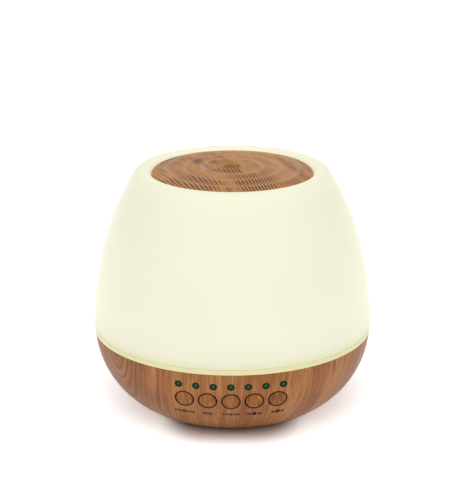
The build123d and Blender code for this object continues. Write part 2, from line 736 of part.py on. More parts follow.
with BuildPart() as blade:
    for blade_r, chord, blade_pitch in (BLADE_ROOT, BLADE_TIP):
        blade_plane = Plane(origin=(blade_r, 0, BLADE_MID_Z), x_dir=(0, 1, 0), z_dir=(1, 0, 0))
        with BuildSketch(blade_plane):
            SlotOverall(chord, BLADE_T, rotation=blade_pitch)
    loft()
    # tips follow the housing's bore
    with BuildSketch(Plane.XY.offset(FAN_LOW_Z)):
        Circle(BLADE_TIP_R)
    extrude(amount=FAN_TOP_Z - FAN_LOW_Z, mode=Mode.INTERSECT)

with BuildPart() as fan_impeller:
    with BuildSketch(Plane.XY.offset(HUB_LOW_Z)):
        Circle(HUB_R)
    extrude(amount=HUB_TOP_Z - HUB_LOW_Z)
    crown = fan_impeller.edges().filter_by_position(Axis.Z, HUB_TOP_Z - 0.01, HUB_TOP_Z + 0.01)
    fillet(crown, HUB_ROUND)
    with PolarLocations(0, BLADE_COUNT):
        add(blade.part)
    with BuildSketch(Plane.XY.offset(HUB_LOW_Z)):
        Circle(HUB_INNER_R)
    extrude(amount=HUB_ROOF_Z - HUB_LOW_Z, mode=Mode.SUBTRACT)
    with BuildSketch(Plane.XY.offset(HUB_ROOF_Z - SHAFT_BOSS_T)):
        Circle(SHAFT_BOSS_R)
    extrude(amount=SHAFT_BOSS_T)
    with BuildSketch(Plane.XY.offset(HUB_ROOF_Z - SHAFT_BOSS_T)):
        Circle(SHAFT_R)
    extrude(amount=SHAFT_BOSS_T + SHAFT_GRIP, mode=Mode.SUBTRACT)
finish(fan_impeller.part, "fan_impeller")

with BuildPart() as fan_magnet:
    with BuildSketch(Plane.XY.offset(MAGNET_LOW_Z)):
        Circle(HUB_INNER_R)
        Circle(MAGNET_BORE_R, mode=Mode.SUBTRACT)
    extrude(amount=MAGNET_T)
finish(fan_magnet.part, "fan_magnet")

with BuildPart() as fan_shaft:
    with BuildSketch(Plane.XY.offset(SHAFT_LOW_Z)):
        Circle(SHAFT_R)
    extrude(amount=HUB_ROOF_Z + SHAFT_GRIP - SHAFT_LOW_Z)
finish(fan_shaft.part, "fan_shaft")

DUCT_FLANGE_T = 2.0
DUCT_FLANGE_Z = FAN_TOP_Z + DUCT_FLANGE_T
DUCT_TOP_Z = 29.0
DUCT_WALL = 1.4
DUCT_R = 22.9
SPOUT_R = 9.7
SPOUT_TOP_Z = 43.0


def duct_outline(inset):
    """Teardrop from over the fan to under the riser."""
    with BuildSketch() as outline:
        Circle(DUCT_R - inset)
        with Locations((0, RISER_Y)):
            Circle(SPOUT_R - inset)
        make_hull()
    return outline.sketch


with BuildPart() as air_duct:
    with BuildSketch(Plane.XY.offset(FAN_TOP_Z)):
        RectangleRounded(FAN_SIZE, FAN_SIZE, FAN_CORNER)
        add(duct_outline(0))
    extrude(amount=DUCT_FLANGE_T)
    with BuildSketch(Plane.XY.offset(DUCT_FLANGE_Z)):
        add(duct_outline(0))
    extrude(amount=DUCT_TOP_Z - DUCT_FLANGE_Z)
    with BuildSketch(Plane.XY.offset(DUCT_TOP_Z)):
        with Locations((0, RISER_Y)):
            Circle(SPOUT_R)
    extrude(amount=SPOUT_TOP_Z - DUCT_TOP_Z)
    with BuildSketch(Plane.XY.offset(DUCT_FLANGE_Z)):
        add(duct_outline(DUCT_WALL))
    extrude(amount=DUCT_TOP_Z - DUCT_WALL - DUCT_FLANGE_Z, mode=Mode.SUBTRACT)
    with BuildSketch(Plane.XY.offset(DUCT_FLANGE_Z)):
        with Locations((0, RISER_Y)):
            Circle(SPOUT_R - DUCT_WALL)
    extrude(amount=SPOUT_TOP_Z - DUCT_FLANGE_Z, mode=Mode.SUBTRACT)
    with BuildSketch(Plane.XY.offset(FAN_TOP_Z)):
        Circle(DUCT_R - DUCT_WALL)
        with Locations(*FAN_SCREWS):
            Circle(SMALL_SCREW[0] + WIDE_EASE)
    extrude(amount=DUCT_FLANGE_T, mode=Mode.SUBTRACT)
finish(air_duct.part, "air_duct")

finish(screws(FAN_SCREWS, DUCT_FLANGE_Z, FAN_LOW_Z - FAN_PILOT_DEPTH, SMALL_SCREW, True), "fan_screws")

# =====================================================================
# Ring of mood lights under the tank's deck
# =====================================================================
MOOD_LIGHT_COUNT = 12
MOOD_LIGHT_SIZE = 3.5
MOOD_LIGHT_H = 1.9
RING_BOARD_R = (58.0, 66.0)
RING_BOARD_TOP_Z = RING_BOARD_LOW_Z + BOARD_T

with BuildPart() as led_ring_board:
    with BuildSketch(Plane.XY.offset(RING_BOARD_LOW_Z)):
        Circle(RING_BOARD_R[1])
        Circle(RING_BOARD_R[0], mode=Mode.SUBTRACT)
        with Locations(*PEGS):
            Circle(PEG_R + HOLE_EASE, mode=Mode.SUBTRACT)
    extrude(amount=BOARD_T)
finish(led_ring_board.part, "led_ring_board")

with BuildPart() as mood_leds:
    with BuildSketch(Plane.XY.offset(RING_BOARD_TOP_Z)):
        with PolarLocations(PEG_CIRCLE_R, MOOD_LIGHT_COUNT, start_angle=15):
            Rectangle(MOOD_LIGHT_SIZE, MOOD_LIGHT_SIZE)
    extrude(amount=MOOD_LIGHT_H)
finish(mood_leds.part, "mood_leds")

# =====================================================================
# Front panel: board, switches, lights, light pipes, bracket and buttons
# =====================================================================
PANEL_BOARD_SIZE = (81.0, 18.5)
PANEL_BOARD_Z = 33.75
PANEL_BACK_Y = PANEL_Y - BOARD_T
PANEL_SCREWS = [(-PANEL_BOSS_X, PANEL_BOSS_Z), (PANEL_BOSS_X, PANEL_BOSS_Z)]
SWITCH_SIZE = 6.0
SWITCH_T = 3.5
BRACKET_WIDTH = 64.0
BRACKET_HEIGHT = 6.4
BRACKET_Z = BUTTON_Z + 0.2
BRACKET_ARM_T = 1.5
BRACKET_ARM_X = (BRACKET_WIDTH - BRACKET_ARM_T) / 2
BRACKET_EAR = (8.0, 9.8)
BRACKET_EAR_X = (BRACKET_WIDTH + BRACKET_EAR[0]) / 2
BRACKET_EAR_Z = 31.5
COLLAR_R = 3.0
COLLAR_BACK_Y = PANEL_Y + 5.2
COLLAR_T = 1.0
GUIDE_BACK_Y = 66.5
GUIDE_T = 1.5
STEM_R = 2.0
CAP_BACK_Y = 70.5

with BuildPart() as button_board:
    with BuildSketch(front_plane(PANEL_BACK_Y)):
        with Locations((0, PANEL_BOARD_Z)):
            RectangleRounded(*PANEL_BOARD_SIZE, 2.0)
        with Locations(*PANEL_SCREWS):
            Circle(PANEL_SCREW[0] + HOLE_EASE, mode=Mode.SUBTRACT)
    extrude(amount=BOARD_T)
finish(button_board.part, "button_board")

SWITCH_WELL_R = 1.9
SWITCH_WELL_Y = PANEL_Y + 1.0
INDICATOR_SIZE = (1.6, 0.8)
INDICATOR_H = 0.7
PLUNGER_R = 1.75
PLUNGER_LOW_Y = PANEL_Y + 2.0
CAP_ROUND = 0.35

with BuildPart() as tact_switches:
    with BuildSketch(front_plane(PANEL_Y)):
        with Locations(*[(x, BUTTON_Z) for x in BUTTON_X]):
            Rectangle(SWITCH_SIZE, SWITCH_SIZE)
    extrude(amount=SWITCH_T)
    with BuildSketch(front_plane(SWITCH_WELL_Y)):
        with Locations(*[(x, BUTTON_Z) for x in BUTTON_X]):
            Circle(SWITCH_WELL_R)
    extrude(amount=SWITCH_T, mode=Mode.SUBTRACT)
finish(tact_switches.part, "tact_switches")

with BuildPart() as indicator_leds:
    with BuildSketch(front_plane(PANEL_Y)):
        with Locations(*[(x, LIGHT_Z) for x in LIGHT_X]):
            Rectangle(*INDICATOR_SIZE)
    extrude(amount=INDICATOR_H)
finish(indicator_leds.part, "indicator_leds")

with BuildPart() as indicator_lenses:
    with BuildSketch(front_plane(PANEL_Y + INDICATOR_H)):
        with Locations(*[(x, LIGHT_Z) for x in LIGHT_X]):
            Circle(LIGHT_R)
    extrude(amount=REACH)
    revolve(bowl_section(0.2, BASE_Z, RIM_Z), axis=Axis.Z, mode=Mode.INTERSECT)
finish(indicator_lenses.part, "indicator_lenses")

with BuildPart() as button_bracket:
    with BuildSketch(front_plane(GUIDE_BACK_Y)):
        with Locations((0, BRACKET_Z)):
            Rectangle(BRACKET_WIDTH, BRACKET_HEIGHT)
    extrude(amount=GUIDE_T)
    with BuildSketch(front_plane(PANEL_Y)):
        with Locations((-BRACKET_ARM_X, BRACKET_Z), (BRACKET_ARM_X, BRACKET_Z)):
            Rectangle(BRACKET_ARM_T, BRACKET_HEIGHT)
    extrude(amount=GUIDE_BACK_Y - PANEL_Y)
    with BuildSketch(front_plane(PANEL_Y)):
        with Locations((-BRACKET_EAR_X, BRACKET_EAR_Z), (BRACKET_EAR_X, BRACKET_EAR_Z)):
            Rectangle(*BRACKET_EAR)
    extrude(amount=BRACKET_EAR_T)
    with BuildSketch(front_plane(PANEL_Y)):
        with Locations(*PANEL_SCREWS):
            Circle(PANEL_SCREW[0] + HOLE_EASE)
    extrude(amount=BRACKET_EAR_T, mode=Mode.SUBTRACT)
    with BuildSketch(front_plane(GUIDE_BACK_Y)):
        with Locations(*[(x, BUTTON_Z) for x in BUTTON_X]):
            Circle(STEM_R + 0.08)
    extrude(amount=GUIDE_T, mode=Mode.SUBTRACT)
finish(button_bracket.part, "button_bracket")

with BuildPart() as panel_screws:
    with BuildSketch(front_plane(PANEL_BACK_Y)):
        with Locations(*PANEL_SCREWS):
            Circle(PANEL_SCREW[0])
    extrude(amount=PANEL_BOSS_Y + 5.5 - PANEL_BACK_Y)
    with BuildSketch(front_plane(PANEL_BACK_Y - PANEL_SCREW[2])):
        with Locations(*PANEL_SCREWS):
            Circle(PANEL_SCREW[1])
    extrude(amount=PANEL_SCREW[2])
finish(panel_screws.part, "panel_screws")

for button_name, button_x in zip(BUTTON_NAMES, BUTTON_X):
    with BuildPart() as button:
        with BuildSketch(front_plane(CAP_BACK_Y)):
            with Locations((button_x, BUTTON_Z)):
                Circle(BUTTON_R)
        extrude(amount=REACH)
        revolve(bowl_section(0, BASE_Z, RIM_Z), axis=Axis.Z, mode=Mode.INTERSECT)
        cap_face = button.faces().sort_by(Axis.Y)[0]
        fillet(cap_face.edges(), CAP_ROUND)
        with BuildSketch(front_plane(COLLAR_BACK_Y)):
            with Locations((button_x, BUTTON_Z)):
                Circle(STEM_R)
        extrude(amount=CAP_BACK_Y - COLLAR_BACK_Y)
        with BuildSketch(front_plane(COLLAR_BACK_Y)):
            with Locations((button_x, BUTTON_Z)):
                Circle(COLLAR_R)
        extrude(amount=COLLAR_T)
    finish(button.part, f"{button_name}_button")

    with BuildPart() as plunger:
        with BuildSketch(front_plane(PLUNGER_LOW_Y)):
            with Locations((button_x, BUTTON_Z)):
                Circle(PLUNGER_R)
        extrude(amount=COLLAR_BACK_Y - PLUNGER_LOW_Y)
    finish(plunger.part, f"{button_name}_plunger")

# =====================================================================
# Power inlet at the back
# =====================================================================
JACK_BODY = 11.0
JACK_BACK_Y = 54.0
JACK_ROOT_Y = JACK_BACK_Y + 2.0
JACK_FLOOR_Y = JACK_BACK_Y + 4.0
JACK_NECK_R = 4.0
JACK_NUT_R = 6.2
JACK_NUT_T = 2.0
JACK_PIN_CHAMFER = 0.25

with BuildPart() as dc_jack:
    with BuildSketch(front_plane(-JACK_BACK_Y)):
        with Locations((0, JACK_Z)):
            Rectangle(JACK_BODY, JACK_BODY)
    extrude(amount=-(JACK_PANEL_Y - JACK_PANEL_T - JACK_BACK_Y))
    with BuildSketch(front_plane(-(JACK_PANEL_Y - JACK_PANEL_T))):
        with Locations((0, JACK_Z)):
            Circle(JACK_NECK_R)
    extrude(amount=-(JACK_NOSE_Y - JACK_PANEL_Y + JACK_PANEL_T))
    with BuildSketch(front_plane(-JACK_FLOOR_Y)):
        with Locations((0, JACK_Z)):
            Circle(JACK_BORE_R)
    extrude(amount=-REACH, mode=Mode.SUBTRACT)
    with BuildSketch(front_plane(-JACK_ROOT_Y)):
        with Locations((0, JACK_Z)):
            Circle(JACK_ROOT_R)
    extrude(amount=-(JACK_FLOOR_Y - JACK_ROOT_Y), mode=Mode.SUBTRACT)
finish(dc_jack.part, "dc_jack")

with BuildPart() as jack_pin:
    with BuildSketch(front_plane(-JACK_ROOT_Y)):
        with Locations((0, JACK_Z)):
            Circle(JACK_ROOT_R)
    extrude(amount=-(JACK_FLOOR_Y - JACK_ROOT_Y))
    with BuildSketch(front_plane(-JACK_FLOOR_Y)):
        with Locations((0, JACK_Z)):
            Circle(JACK_PIN_R)
    extrude(amount=-(JACK_PIN_END_Y - JACK_FLOOR_Y))
    pin_end = jack_pin.edges().sort_by(Axis.Y)[-1]
    chamfer(pin_end, JACK_PIN_CHAMFER)
finish(jack_pin.part, "jack_pin")

with BuildPart() as jack_nut:
    with BuildSketch(front_plane(-JACK_PANEL_Y)):
        with Locations((0, JACK_Z)):
            RegularPolygon(JACK_NUT_R, 6)
            Circle(JACK_NECK_R, mode=Mode.SUBTRACT)
    extrude(amount=-JACK_NUT_T)
finish(jack_nut.part, "jack_nut")

# =====================================================================
# Tank lid: loose splash dome with a chimney
# =====================================================================
LID_SKIRT_R = (57.7, 59.3)
LID_SKIRT_LOW_Z = 93.0
CHIMNEY_R = (7.4, 9.0)
CHIMNEY_TOP_Z = 131.0
CHIMNEY_LIP_ROUND = 0.5
NECK_Z = 114.5
NECK_INNER_Z = 112.9
NECK_ROUND = 3.0
LID_SEAT_R = 54.0
LID_CORNER_Z = CUP_RIM_Z + 1.0
# points halfway up the dome, outside and inside
DOME_OUTER = (38.0, 110.2)
DOME_INNER = (36.0, 108.9)

with BuildPart() as tank_lid:
    with BuildSketch(Plane.XZ):
        with BuildLine():
            Polyline(
                (LID_SEAT_R, CUP_RIM_Z),
                (LID_SKIRT_R[0], CUP_RIM_Z),
                (LID_SKIRT_R[0], LID_SKIRT_LOW_Z),
                (LID_SKIRT_R[1], LID_SKIRT_LOW_Z),
                (LID_SKIRT_R[1], LID_CORNER_Z),
            )
            ThreePointArc((LID_SKIRT_R[1], LID_CORNER_Z), DOME_OUTER, (CHIMNEY_R[1], NECK_Z))
            Polyline(
                (CHIMNEY_R[1], NECK_Z),
                (CHIMNEY_R[1], CHIMNEY_TOP_Z),
                (CHIMNEY_R[0], CHIMNEY_TOP_Z),
                (CHIMNEY_R[0], NECK_INNER_Z),
            )
            ThreePointArc((CHIMNEY_R[0], NECK_INNER_Z), DOME_INNER, (LID_SEAT_R, CUP_RIM_Z))
        make_face()
    revolve(axis=Axis.Z)
    lid_rings = tank_lid.edges().filter_by(GeomType.CIRCLE)
    neck = lid_rings.filter_by_position(Axis.Z, NECK_Z - 0.01, NECK_Z + 0.01)
    fillet(neck, NECK_ROUND)
    lip = lid_rings.filter_by_position(Axis.Z, CHIMNEY_TOP_Z - 0.01, CHIMNEY_TOP_Z + 0.01)
    fillet(lip, CHIMNEY_LIP_ROUND)
finish(tank_lid.part, "tank_lid")

# =====================================================================
# Lift-off cover: glowing shell, wood-look disc, mist nozzle
# =====================================================================
LEDGE_LOW_Z = LEDGE_Z - COVER_WALL
LEDGE_INNER_R = 43.4
SEAT_WALL_R = DISC_SEAT_R + COVER_WALL
CREST_ROUND = 7.55
LIP_ROUND = 4.4
BULGE_MID_Z = 72.0
SHOULDER_MID_Z = 120.0
# middle of the crest's outer arc and of the lip's, as shares of their radii
CREST_SHARE = 0.42
LIP_SHARE = 0.5
CREST_UNDER_Z = CREST_Z - COVER_WALL - 0.5
CREST_UNDER_R = 55.5
SHOULDER_UNDER_Z = SHOULDER_Z - 2.0
DISC_SCREW_R = 46.0
TOP_SCREW_REACH = 1.5
DISC_PILOT_DEPTH = 1.6
DISC_SCREWS = circle_places(DISC_SCREW_R, 4, CORNERS)


def arc_side(top_r, radius, share):
    """Point on an arc that drops from the crest; a negative radius turns it inwards."""
    return (top_r + radius * share, CREST_Z - abs(radius) * (1 - sqrt(1 - share**2)))


with BuildPart() as cover_shell:
    with BuildSketch(Plane.XZ):
        with BuildLine():
            # outside, bottom to crest
            Line(bulge_point(COVER_WALL, BAND_TOP_Z), bulge_point(0, BAND_TOP_Z))
            ThreePointArc(
                bulge_point(0, BAND_TOP_Z),
                bulge_point(0, BULGE_MID_Z),
                shoulder_point(0, ARC_CHANGE_Z),
            )
            ThreePointArc(
                shoulder_point(0, ARC_CHANGE_Z),
                shoulder_point(0, SHOULDER_MID_Z),
                shoulder_point(0, SHOULDER_Z),
            )
            ThreePointArc(
                shoulder_point(0, SHOULDER_Z),
                arc_side(CREST_R, CREST_ROUND, CREST_SHARE),
                (CREST_R, CREST_Z),
            )
            # lip down to the disc's seat, then the ledge
            ThreePointArc(
                (CREST_R, CREST_Z),
                arc_side(CREST_R, -LIP_ROUND, LIP_SHARE),
                (DISC_SEAT_R, LIP_END_Z),
            )
            Polyline(
                (DISC_SEAT_R, LIP_END_Z),
                (DISC_SEAT_R, LEDGE_Z),
                (LEDGE_INNER_R, LEDGE_Z),
                (LEDGE_INNER_R, LEDGE_LOW_Z),
                (SEAT_WALL_R, LEDGE_LOW_Z),
                (SEAT_WALL_R, CREST_UNDER_Z),
                (CREST_UNDER_R, CREST_UNDER_Z),
                shoulder_point(COVER_WALL, SHOULDER_UNDER_Z),
            )
            # inside, back down
            ThreePointArc(
                shoulder_point(COVER_WALL, SHOULDER_UNDER_Z),
                shoulder_point(COVER_WALL, SHOULDER_MID_Z),
                shoulder_point(COVER_WALL, ARC_CHANGE_Z),
            )
            ThreePointArc(
                shoulder_point(COVER_WALL, ARC_CHANGE_Z),
                bulge_point(COVER_WALL, BULGE_MID_Z),
                bulge_point(COVER_WALL, BAND_TOP_Z),
            )
        make_face()
    revolve(axis=Axis.Z)
    foot_edges = cover_shell.edges().filter_by(GeomType.CIRCLE).filter_by_position(
        Axis.Z, BAND_TOP_Z - 0.01, BAND_TOP_Z + 0.01
    )
    fillet(foot_edges.sort_by(SortBy.RADIUS)[-1], EDGE_ROUND)
    with BuildSketch(Plane.XY.offset(LEDGE_LOW_Z)):
        with Locations(*DISC_SCREWS):
            Circle(TINY_SCREW[0] + HOLE_EASE)
    extrude(amount=LEDGE_Z - LEDGE_LOW_Z, mode=Mode.SUBTRACT)
finish(cover_shell.part, "cover_shell")


def disc_height(r):
    """Top of the disc: a shallow dome with concentric ripples."""
    dome = DISC_RISE * (1 - (r / DISC_R) ** 2)
    ripple = RIPPLE_HEIGHT * cos(2 * pi * (r - RIPPLE_CREST_R) / RIPPLE_PITCH)
    return DISC_TOP_Z - RIPPLE_HEIGHT + dome + ripple


NOZZLE_SCREW_R = 17.6
NOZZLE_SCREWS = circle_places(NOZZLE_SCREW_R, 3, 90)
RIPPLE_POINTS = 25

with BuildPart() as top_disc:
    with BuildSketch(Plane.XZ):
        step = (DISC_R - MIST_HOLE_R) / (RIPPLE_POINTS - 1)
        radii = [MIST_HOLE_R + i * step for i in range(RIPPLE_POINTS)]
        with BuildLine():
            Spline(*[(r, disc_height(r)) for r in radii])
            Polyline(
                (DISC_R, disc_height(DISC_R)),
                (DISC_R, LEDGE_Z),
                (MIST_HOLE_R, LEDGE_Z),
                (MIST_HOLE_R, disc_height(MIST_HOLE_R)),
            )
        make_face()
    revolve(axis=Axis.Z)
    top_edges = top_disc.edges().filter_by(GeomType.CIRCLE).filter_by_position(
        Axis.Z, LEDGE_Z + 1, CREST_Z + 3
    )
    fillet(top_edges.sort_by(SortBy.RADIUS)[-1], DISC_ROUND)
    fillet(top_edges.sort_by(SortBy.RADIUS)[0], MIST_HOLE_ROUND)
    with BuildSketch(Plane.XY.offset(LEDGE_Z)):
        with Locations(*DISC_SCREWS, *NOZZLE_SCREWS):
            Circle(TINY_SCREW[0])
    extrude(amount=DISC_PILOT_DEPTH, mode=Mode.SUBTRACT)
finish(top_disc.part, "top_disc")

finish(screws(DISC_SCREWS, LEDGE_LOW_Z, LEDGE_Z + TOP_SCREW_REACH, TINY_SCREW, False), "disc_screws")

NOZZLE_FLANGE_R = 20.5
NOZZLE_SKIRT_R = (13.0, 14.6)
NOZZLE_LOW_Z = 124.0
NOZZLE_PLATE_Z = 138.0
NOZZLE_SEAL_R = 12.5
NOZZLE_SEAL_T = 1.0

with BuildPart() as mist_nozzle:
    revolve(ring_section(MIST_HOLE_R, NOZZLE_FLANGE_R, NOZZLE_PLATE_Z, LEDGE_Z), axis=Axis.Z)
    pocket = ring_section(0, NOZZLE_SEAL_R, LEDGE_Z - NOZZLE_SEAL_T, LEDGE_Z)
    revolve(pocket, axis=Axis.Z, mode=Mode.SUBTRACT)
    revolve(ring_section(*NOZZLE_SKIRT_R, NOZZLE_LOW_Z, NOZZLE_PLATE_Z), axis=Axis.Z)
    mouth = mist_nozzle.edges().filter_by_position(Axis.Z, NOZZLE_LOW_Z - 0.01, NOZZLE_LOW_Z + 0.01)
    fillet(mouth, 0.5)
    with BuildSketch(Plane.XY.offset(NOZZLE_PLATE_Z)):
        with Locations(*NOZZLE_SCREWS):
            Circle(TINY_SCREW[0] + HOLE_EASE)
    extrude(amount=LEDGE_Z - NOZZLE_PLATE_Z, mode=Mode.SUBTRACT)
finish(mist_nozzle.part, "mist_nozzle")

with BuildPart() as nozzle_seal:
    revolve(
        ring_section(MIST_HOLE_R, NOZZLE_SEAL_R, LEDGE_Z - NOZZLE_SEAL_T, LEDGE_Z),
        axis=Axis.Z,
    )
finish(nozzle_seal.part, "nozzle_seal")

finish(screws(NOZZLE_SCREWS, NOZZLE_PLATE_Z, LEDGE_Z + TOP_SCREW_REACH, TINY_SCREW, False), "nozzle_screws")

# =====================================================================
# Leads between the boards
# =====================================================================
LEAD_R = 0.7
LEAD_APART = 1.5
PIEZO_BEND = 0.78
FAN_BEND = 1.2
LED_BEND = 1.1
JACK_BEND = 0.72
SOCKET_Z = DRIVER_TOP_Z + CONNECTOR_H
UNDER_DECK_Z = 39.8
PIEZO_TAB_X = 3.0
FAN_EXIT = (24.9, 6.0, 12.5)
FAN_LEAD_X = 32.0
FAN_LEAD_TOP_Z = 41.0
LED_TAB_X = 59.5
LED_LEAD_Z = 40.5
JACK_LEAD_X = (3.0, 14.0, 5.0)
JACK_LEAD_Y = (52.6, 50.0)

with BuildPart() as piezo_leads:
    for lead_side in (-LEAD_APART, LEAD_APART):
        add(
            lead(
                [
                    (PIEZO_TAB_X, lead_side, PIEZO_Z),
                    (PIEZO_TAB_X, lead_side, UNDER_DECK_Z),
                    (CONNECTOR_X, PIEZO_CONNECTOR_Y + lead_side, UNDER_DECK_Z),
                    (CONNECTOR_X, PIEZO_CONNECTOR_Y + lead_side, SOCKET_Z),
                ],
                LEAD_R,
                PIEZO_BEND,
            )
        )
finish(piezo_leads.part, "piezo_leads")

with BuildPart() as fan_leads:
    for lead_side in (-LEAD_APART, LEAD_APART):
        add(
            lead(
                [
                    (FAN_EXIT[0], FAN_EXIT[1] + lead_side, FAN_EXIT[2]),
                    (FAN_LEAD_X, FAN_EXIT[1] + lead_side, FAN_EXIT[2]),
                    (FAN_LEAD_X, FAN_EXIT[1] + lead_side, FAN_LEAD_TOP_Z),
                    (CONNECTOR_X, FAN_CONNECTOR_Y + lead_side, FAN_LEAD_TOP_Z),
                    (CONNECTOR_X, FAN_CONNECTOR_Y + lead_side, SOCKET_Z),
                ],
                LEAD_R,
                FAN_BEND,
            )
        )
finish(fan_leads.part, "fan_leads")

with BuildPart() as led_leads:
    for lead_side in (-LEAD_APART, LEAD_APART):
        add(
            lead(
                [
                    (LED_TAB_X, LED_CONNECTOR_Y + lead_side, RING_BOARD_LOW_Z),
                    (LED_TAB_X, LED_CONNECTOR_Y + lead_side, LED_LEAD_Z),
                    (CONNECTOR_X, LED_CONNECTOR_Y + lead_side, LED_LEAD_Z),
                    (CONNECTOR_X, LED_CONNECTOR_Y + lead_side, SOCKET_Z),
                ],
                LEAD_R,
                LED_BEND,
            )
        )
finish(led_leads.part, "led_leads")

with BuildPart() as jack_leads:
    for side in (-1, 1):
        add(
            lead(
                [
                    (side * JACK_LEAD_X[0], JACK_BACK_Y, JACK_Z),
                    (side * JACK_LEAD_X[0], JACK_LEAD_Y[0], JACK_Z),
                    (side * JACK_LEAD_X[1], JACK_LEAD_Y[1], JACK_Z),
                    (side * JACK_LEAD_X[1], JACK_LEAD_Y[1], UNDER_DECK_Z),
                    (side * JACK_LEAD_X[2], JACK_CONNECTOR_Y, UNDER_DECK_Z),
                    (side * JACK_LEAD_X[2], JACK_CONNECTOR_Y, SOCKET_Z),
                ],
                LEAD_R,
                JACK_BEND,
            )
        )
finish(jack_leads.part, "jack_leads")

RIBBON_WIDTH = 12.0
RIBBON_T = 0.8
RIBBON_PLUG_Z = 27.0
RIBBON_TOP_Z = 38.0
RIBBON_Y = (-48.0, -38.0, -31.0)
RIBBON_BEND = 1.8

with BuildPart() as button_ribbon:
    with BuildLine() as ribbon_path:
        FilletPolyline(
            (0, -PANEL_BACK_Y, RIBBON_PLUG_Z),
            (0, RIBBON_Y[0], RIBBON_PLUG_Z),
            (0, RIBBON_Y[1], RIBBON_TOP_Z),
            (0, RIBBON_Y[2], RIBBON_TOP_Z),
            (0, RIBBON_Y[2], DRIVER_TOP_Z),
            radius=RIBBON_BEND,
        )
    ribbon_start = Plane(
        origin=ribbon_path.line @ 0, x_dir=(1, 0, 0), z_dir=ribbon_path.line % 0
    )
    with BuildSketch(ribbon_start):
        Rectangle(RIBBON_WIDTH, RIBBON_T)
    sweep(path=ribbon_path.line)
finish(button_ribbon.part, "button_ribbon")
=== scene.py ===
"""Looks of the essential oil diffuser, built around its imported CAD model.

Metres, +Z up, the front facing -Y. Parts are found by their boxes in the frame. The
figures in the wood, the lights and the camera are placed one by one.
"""

import math

import bpy
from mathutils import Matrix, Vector
from mathutils.bvhtree import BVHTree


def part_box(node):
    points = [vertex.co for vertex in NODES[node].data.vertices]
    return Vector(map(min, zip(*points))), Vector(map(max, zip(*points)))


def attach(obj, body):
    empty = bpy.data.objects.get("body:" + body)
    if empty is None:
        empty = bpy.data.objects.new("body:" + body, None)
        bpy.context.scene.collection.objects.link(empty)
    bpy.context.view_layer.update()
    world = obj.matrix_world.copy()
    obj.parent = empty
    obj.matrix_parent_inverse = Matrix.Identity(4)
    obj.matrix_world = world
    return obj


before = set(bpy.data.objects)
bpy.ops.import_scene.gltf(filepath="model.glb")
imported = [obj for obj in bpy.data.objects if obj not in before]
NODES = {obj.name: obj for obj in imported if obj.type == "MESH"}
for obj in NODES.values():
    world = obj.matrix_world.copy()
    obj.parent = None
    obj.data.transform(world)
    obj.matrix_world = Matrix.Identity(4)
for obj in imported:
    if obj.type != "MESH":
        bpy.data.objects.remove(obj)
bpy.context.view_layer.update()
MM = 0.001


# ---------------------------------------------------------------- measures
def middle(node):
    low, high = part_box(node)
    return (low + high) / 2


BODY_LOW, BODY_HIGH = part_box("base_shell")
BODY_R = (BODY_HIGH.x - BODY_LOW.x) / 2
RIM_Z = BODY_HIGH.z
COVER_LOW, COVER_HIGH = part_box("cover_shell")
DISC_LOW, DISC_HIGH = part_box("top_disc")
DISC_R = (DISC_HIGH.x - DISC_LOW.x) / 2

# the five buttons, from left to right, and the row of lenses above them
BUTTONS = ["power", "high_mist", "low_mist", "light", "timer"]
BUTTON_LOW, BUTTON_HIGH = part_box("low_mist_button")
BUTTON_R = (BUTTON_HIGH.x - BUTTON_LOW.x) / 2
BUTTON_Z = (BUTTON_HIGH.z + BUTTON_LOW.z) / 2
BUTTON_PITCH = middle("light_button").x - middle("low_mist_button").x
BUTTON_GAP = 0.7 * MM
LENS_LOW, LENS_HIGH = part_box("indicator_lenses")
LENS_COUNT = 7
LENS_R = (LENS_HIGH.z - LENS_LOW.z) / 2
LENS_X = (LENS_LOW.x + LENS_HIGH.x) / 2
LENS_Z = (LENS_HIGH.z + LENS_LOW.z) / 2
LENS_PITCH = (LENS_HIGH.x - LENS_LOW.x - 2 * LENS_R) / (LENS_COUNT - 1)


# ---------------------------------------------------------------- colour
def linear(channel):
    channel /= 255
    if channel <= 0.04045:
        return channel / 12.92
    return ((channel + 0.055) / 1.055) ** 2.4


def srgb(red, green, blue):
    """A display colour, 0 to 255, as the linear colour a shader takes."""
    return (linear(red), linear(green), linear(blue), 1.0)


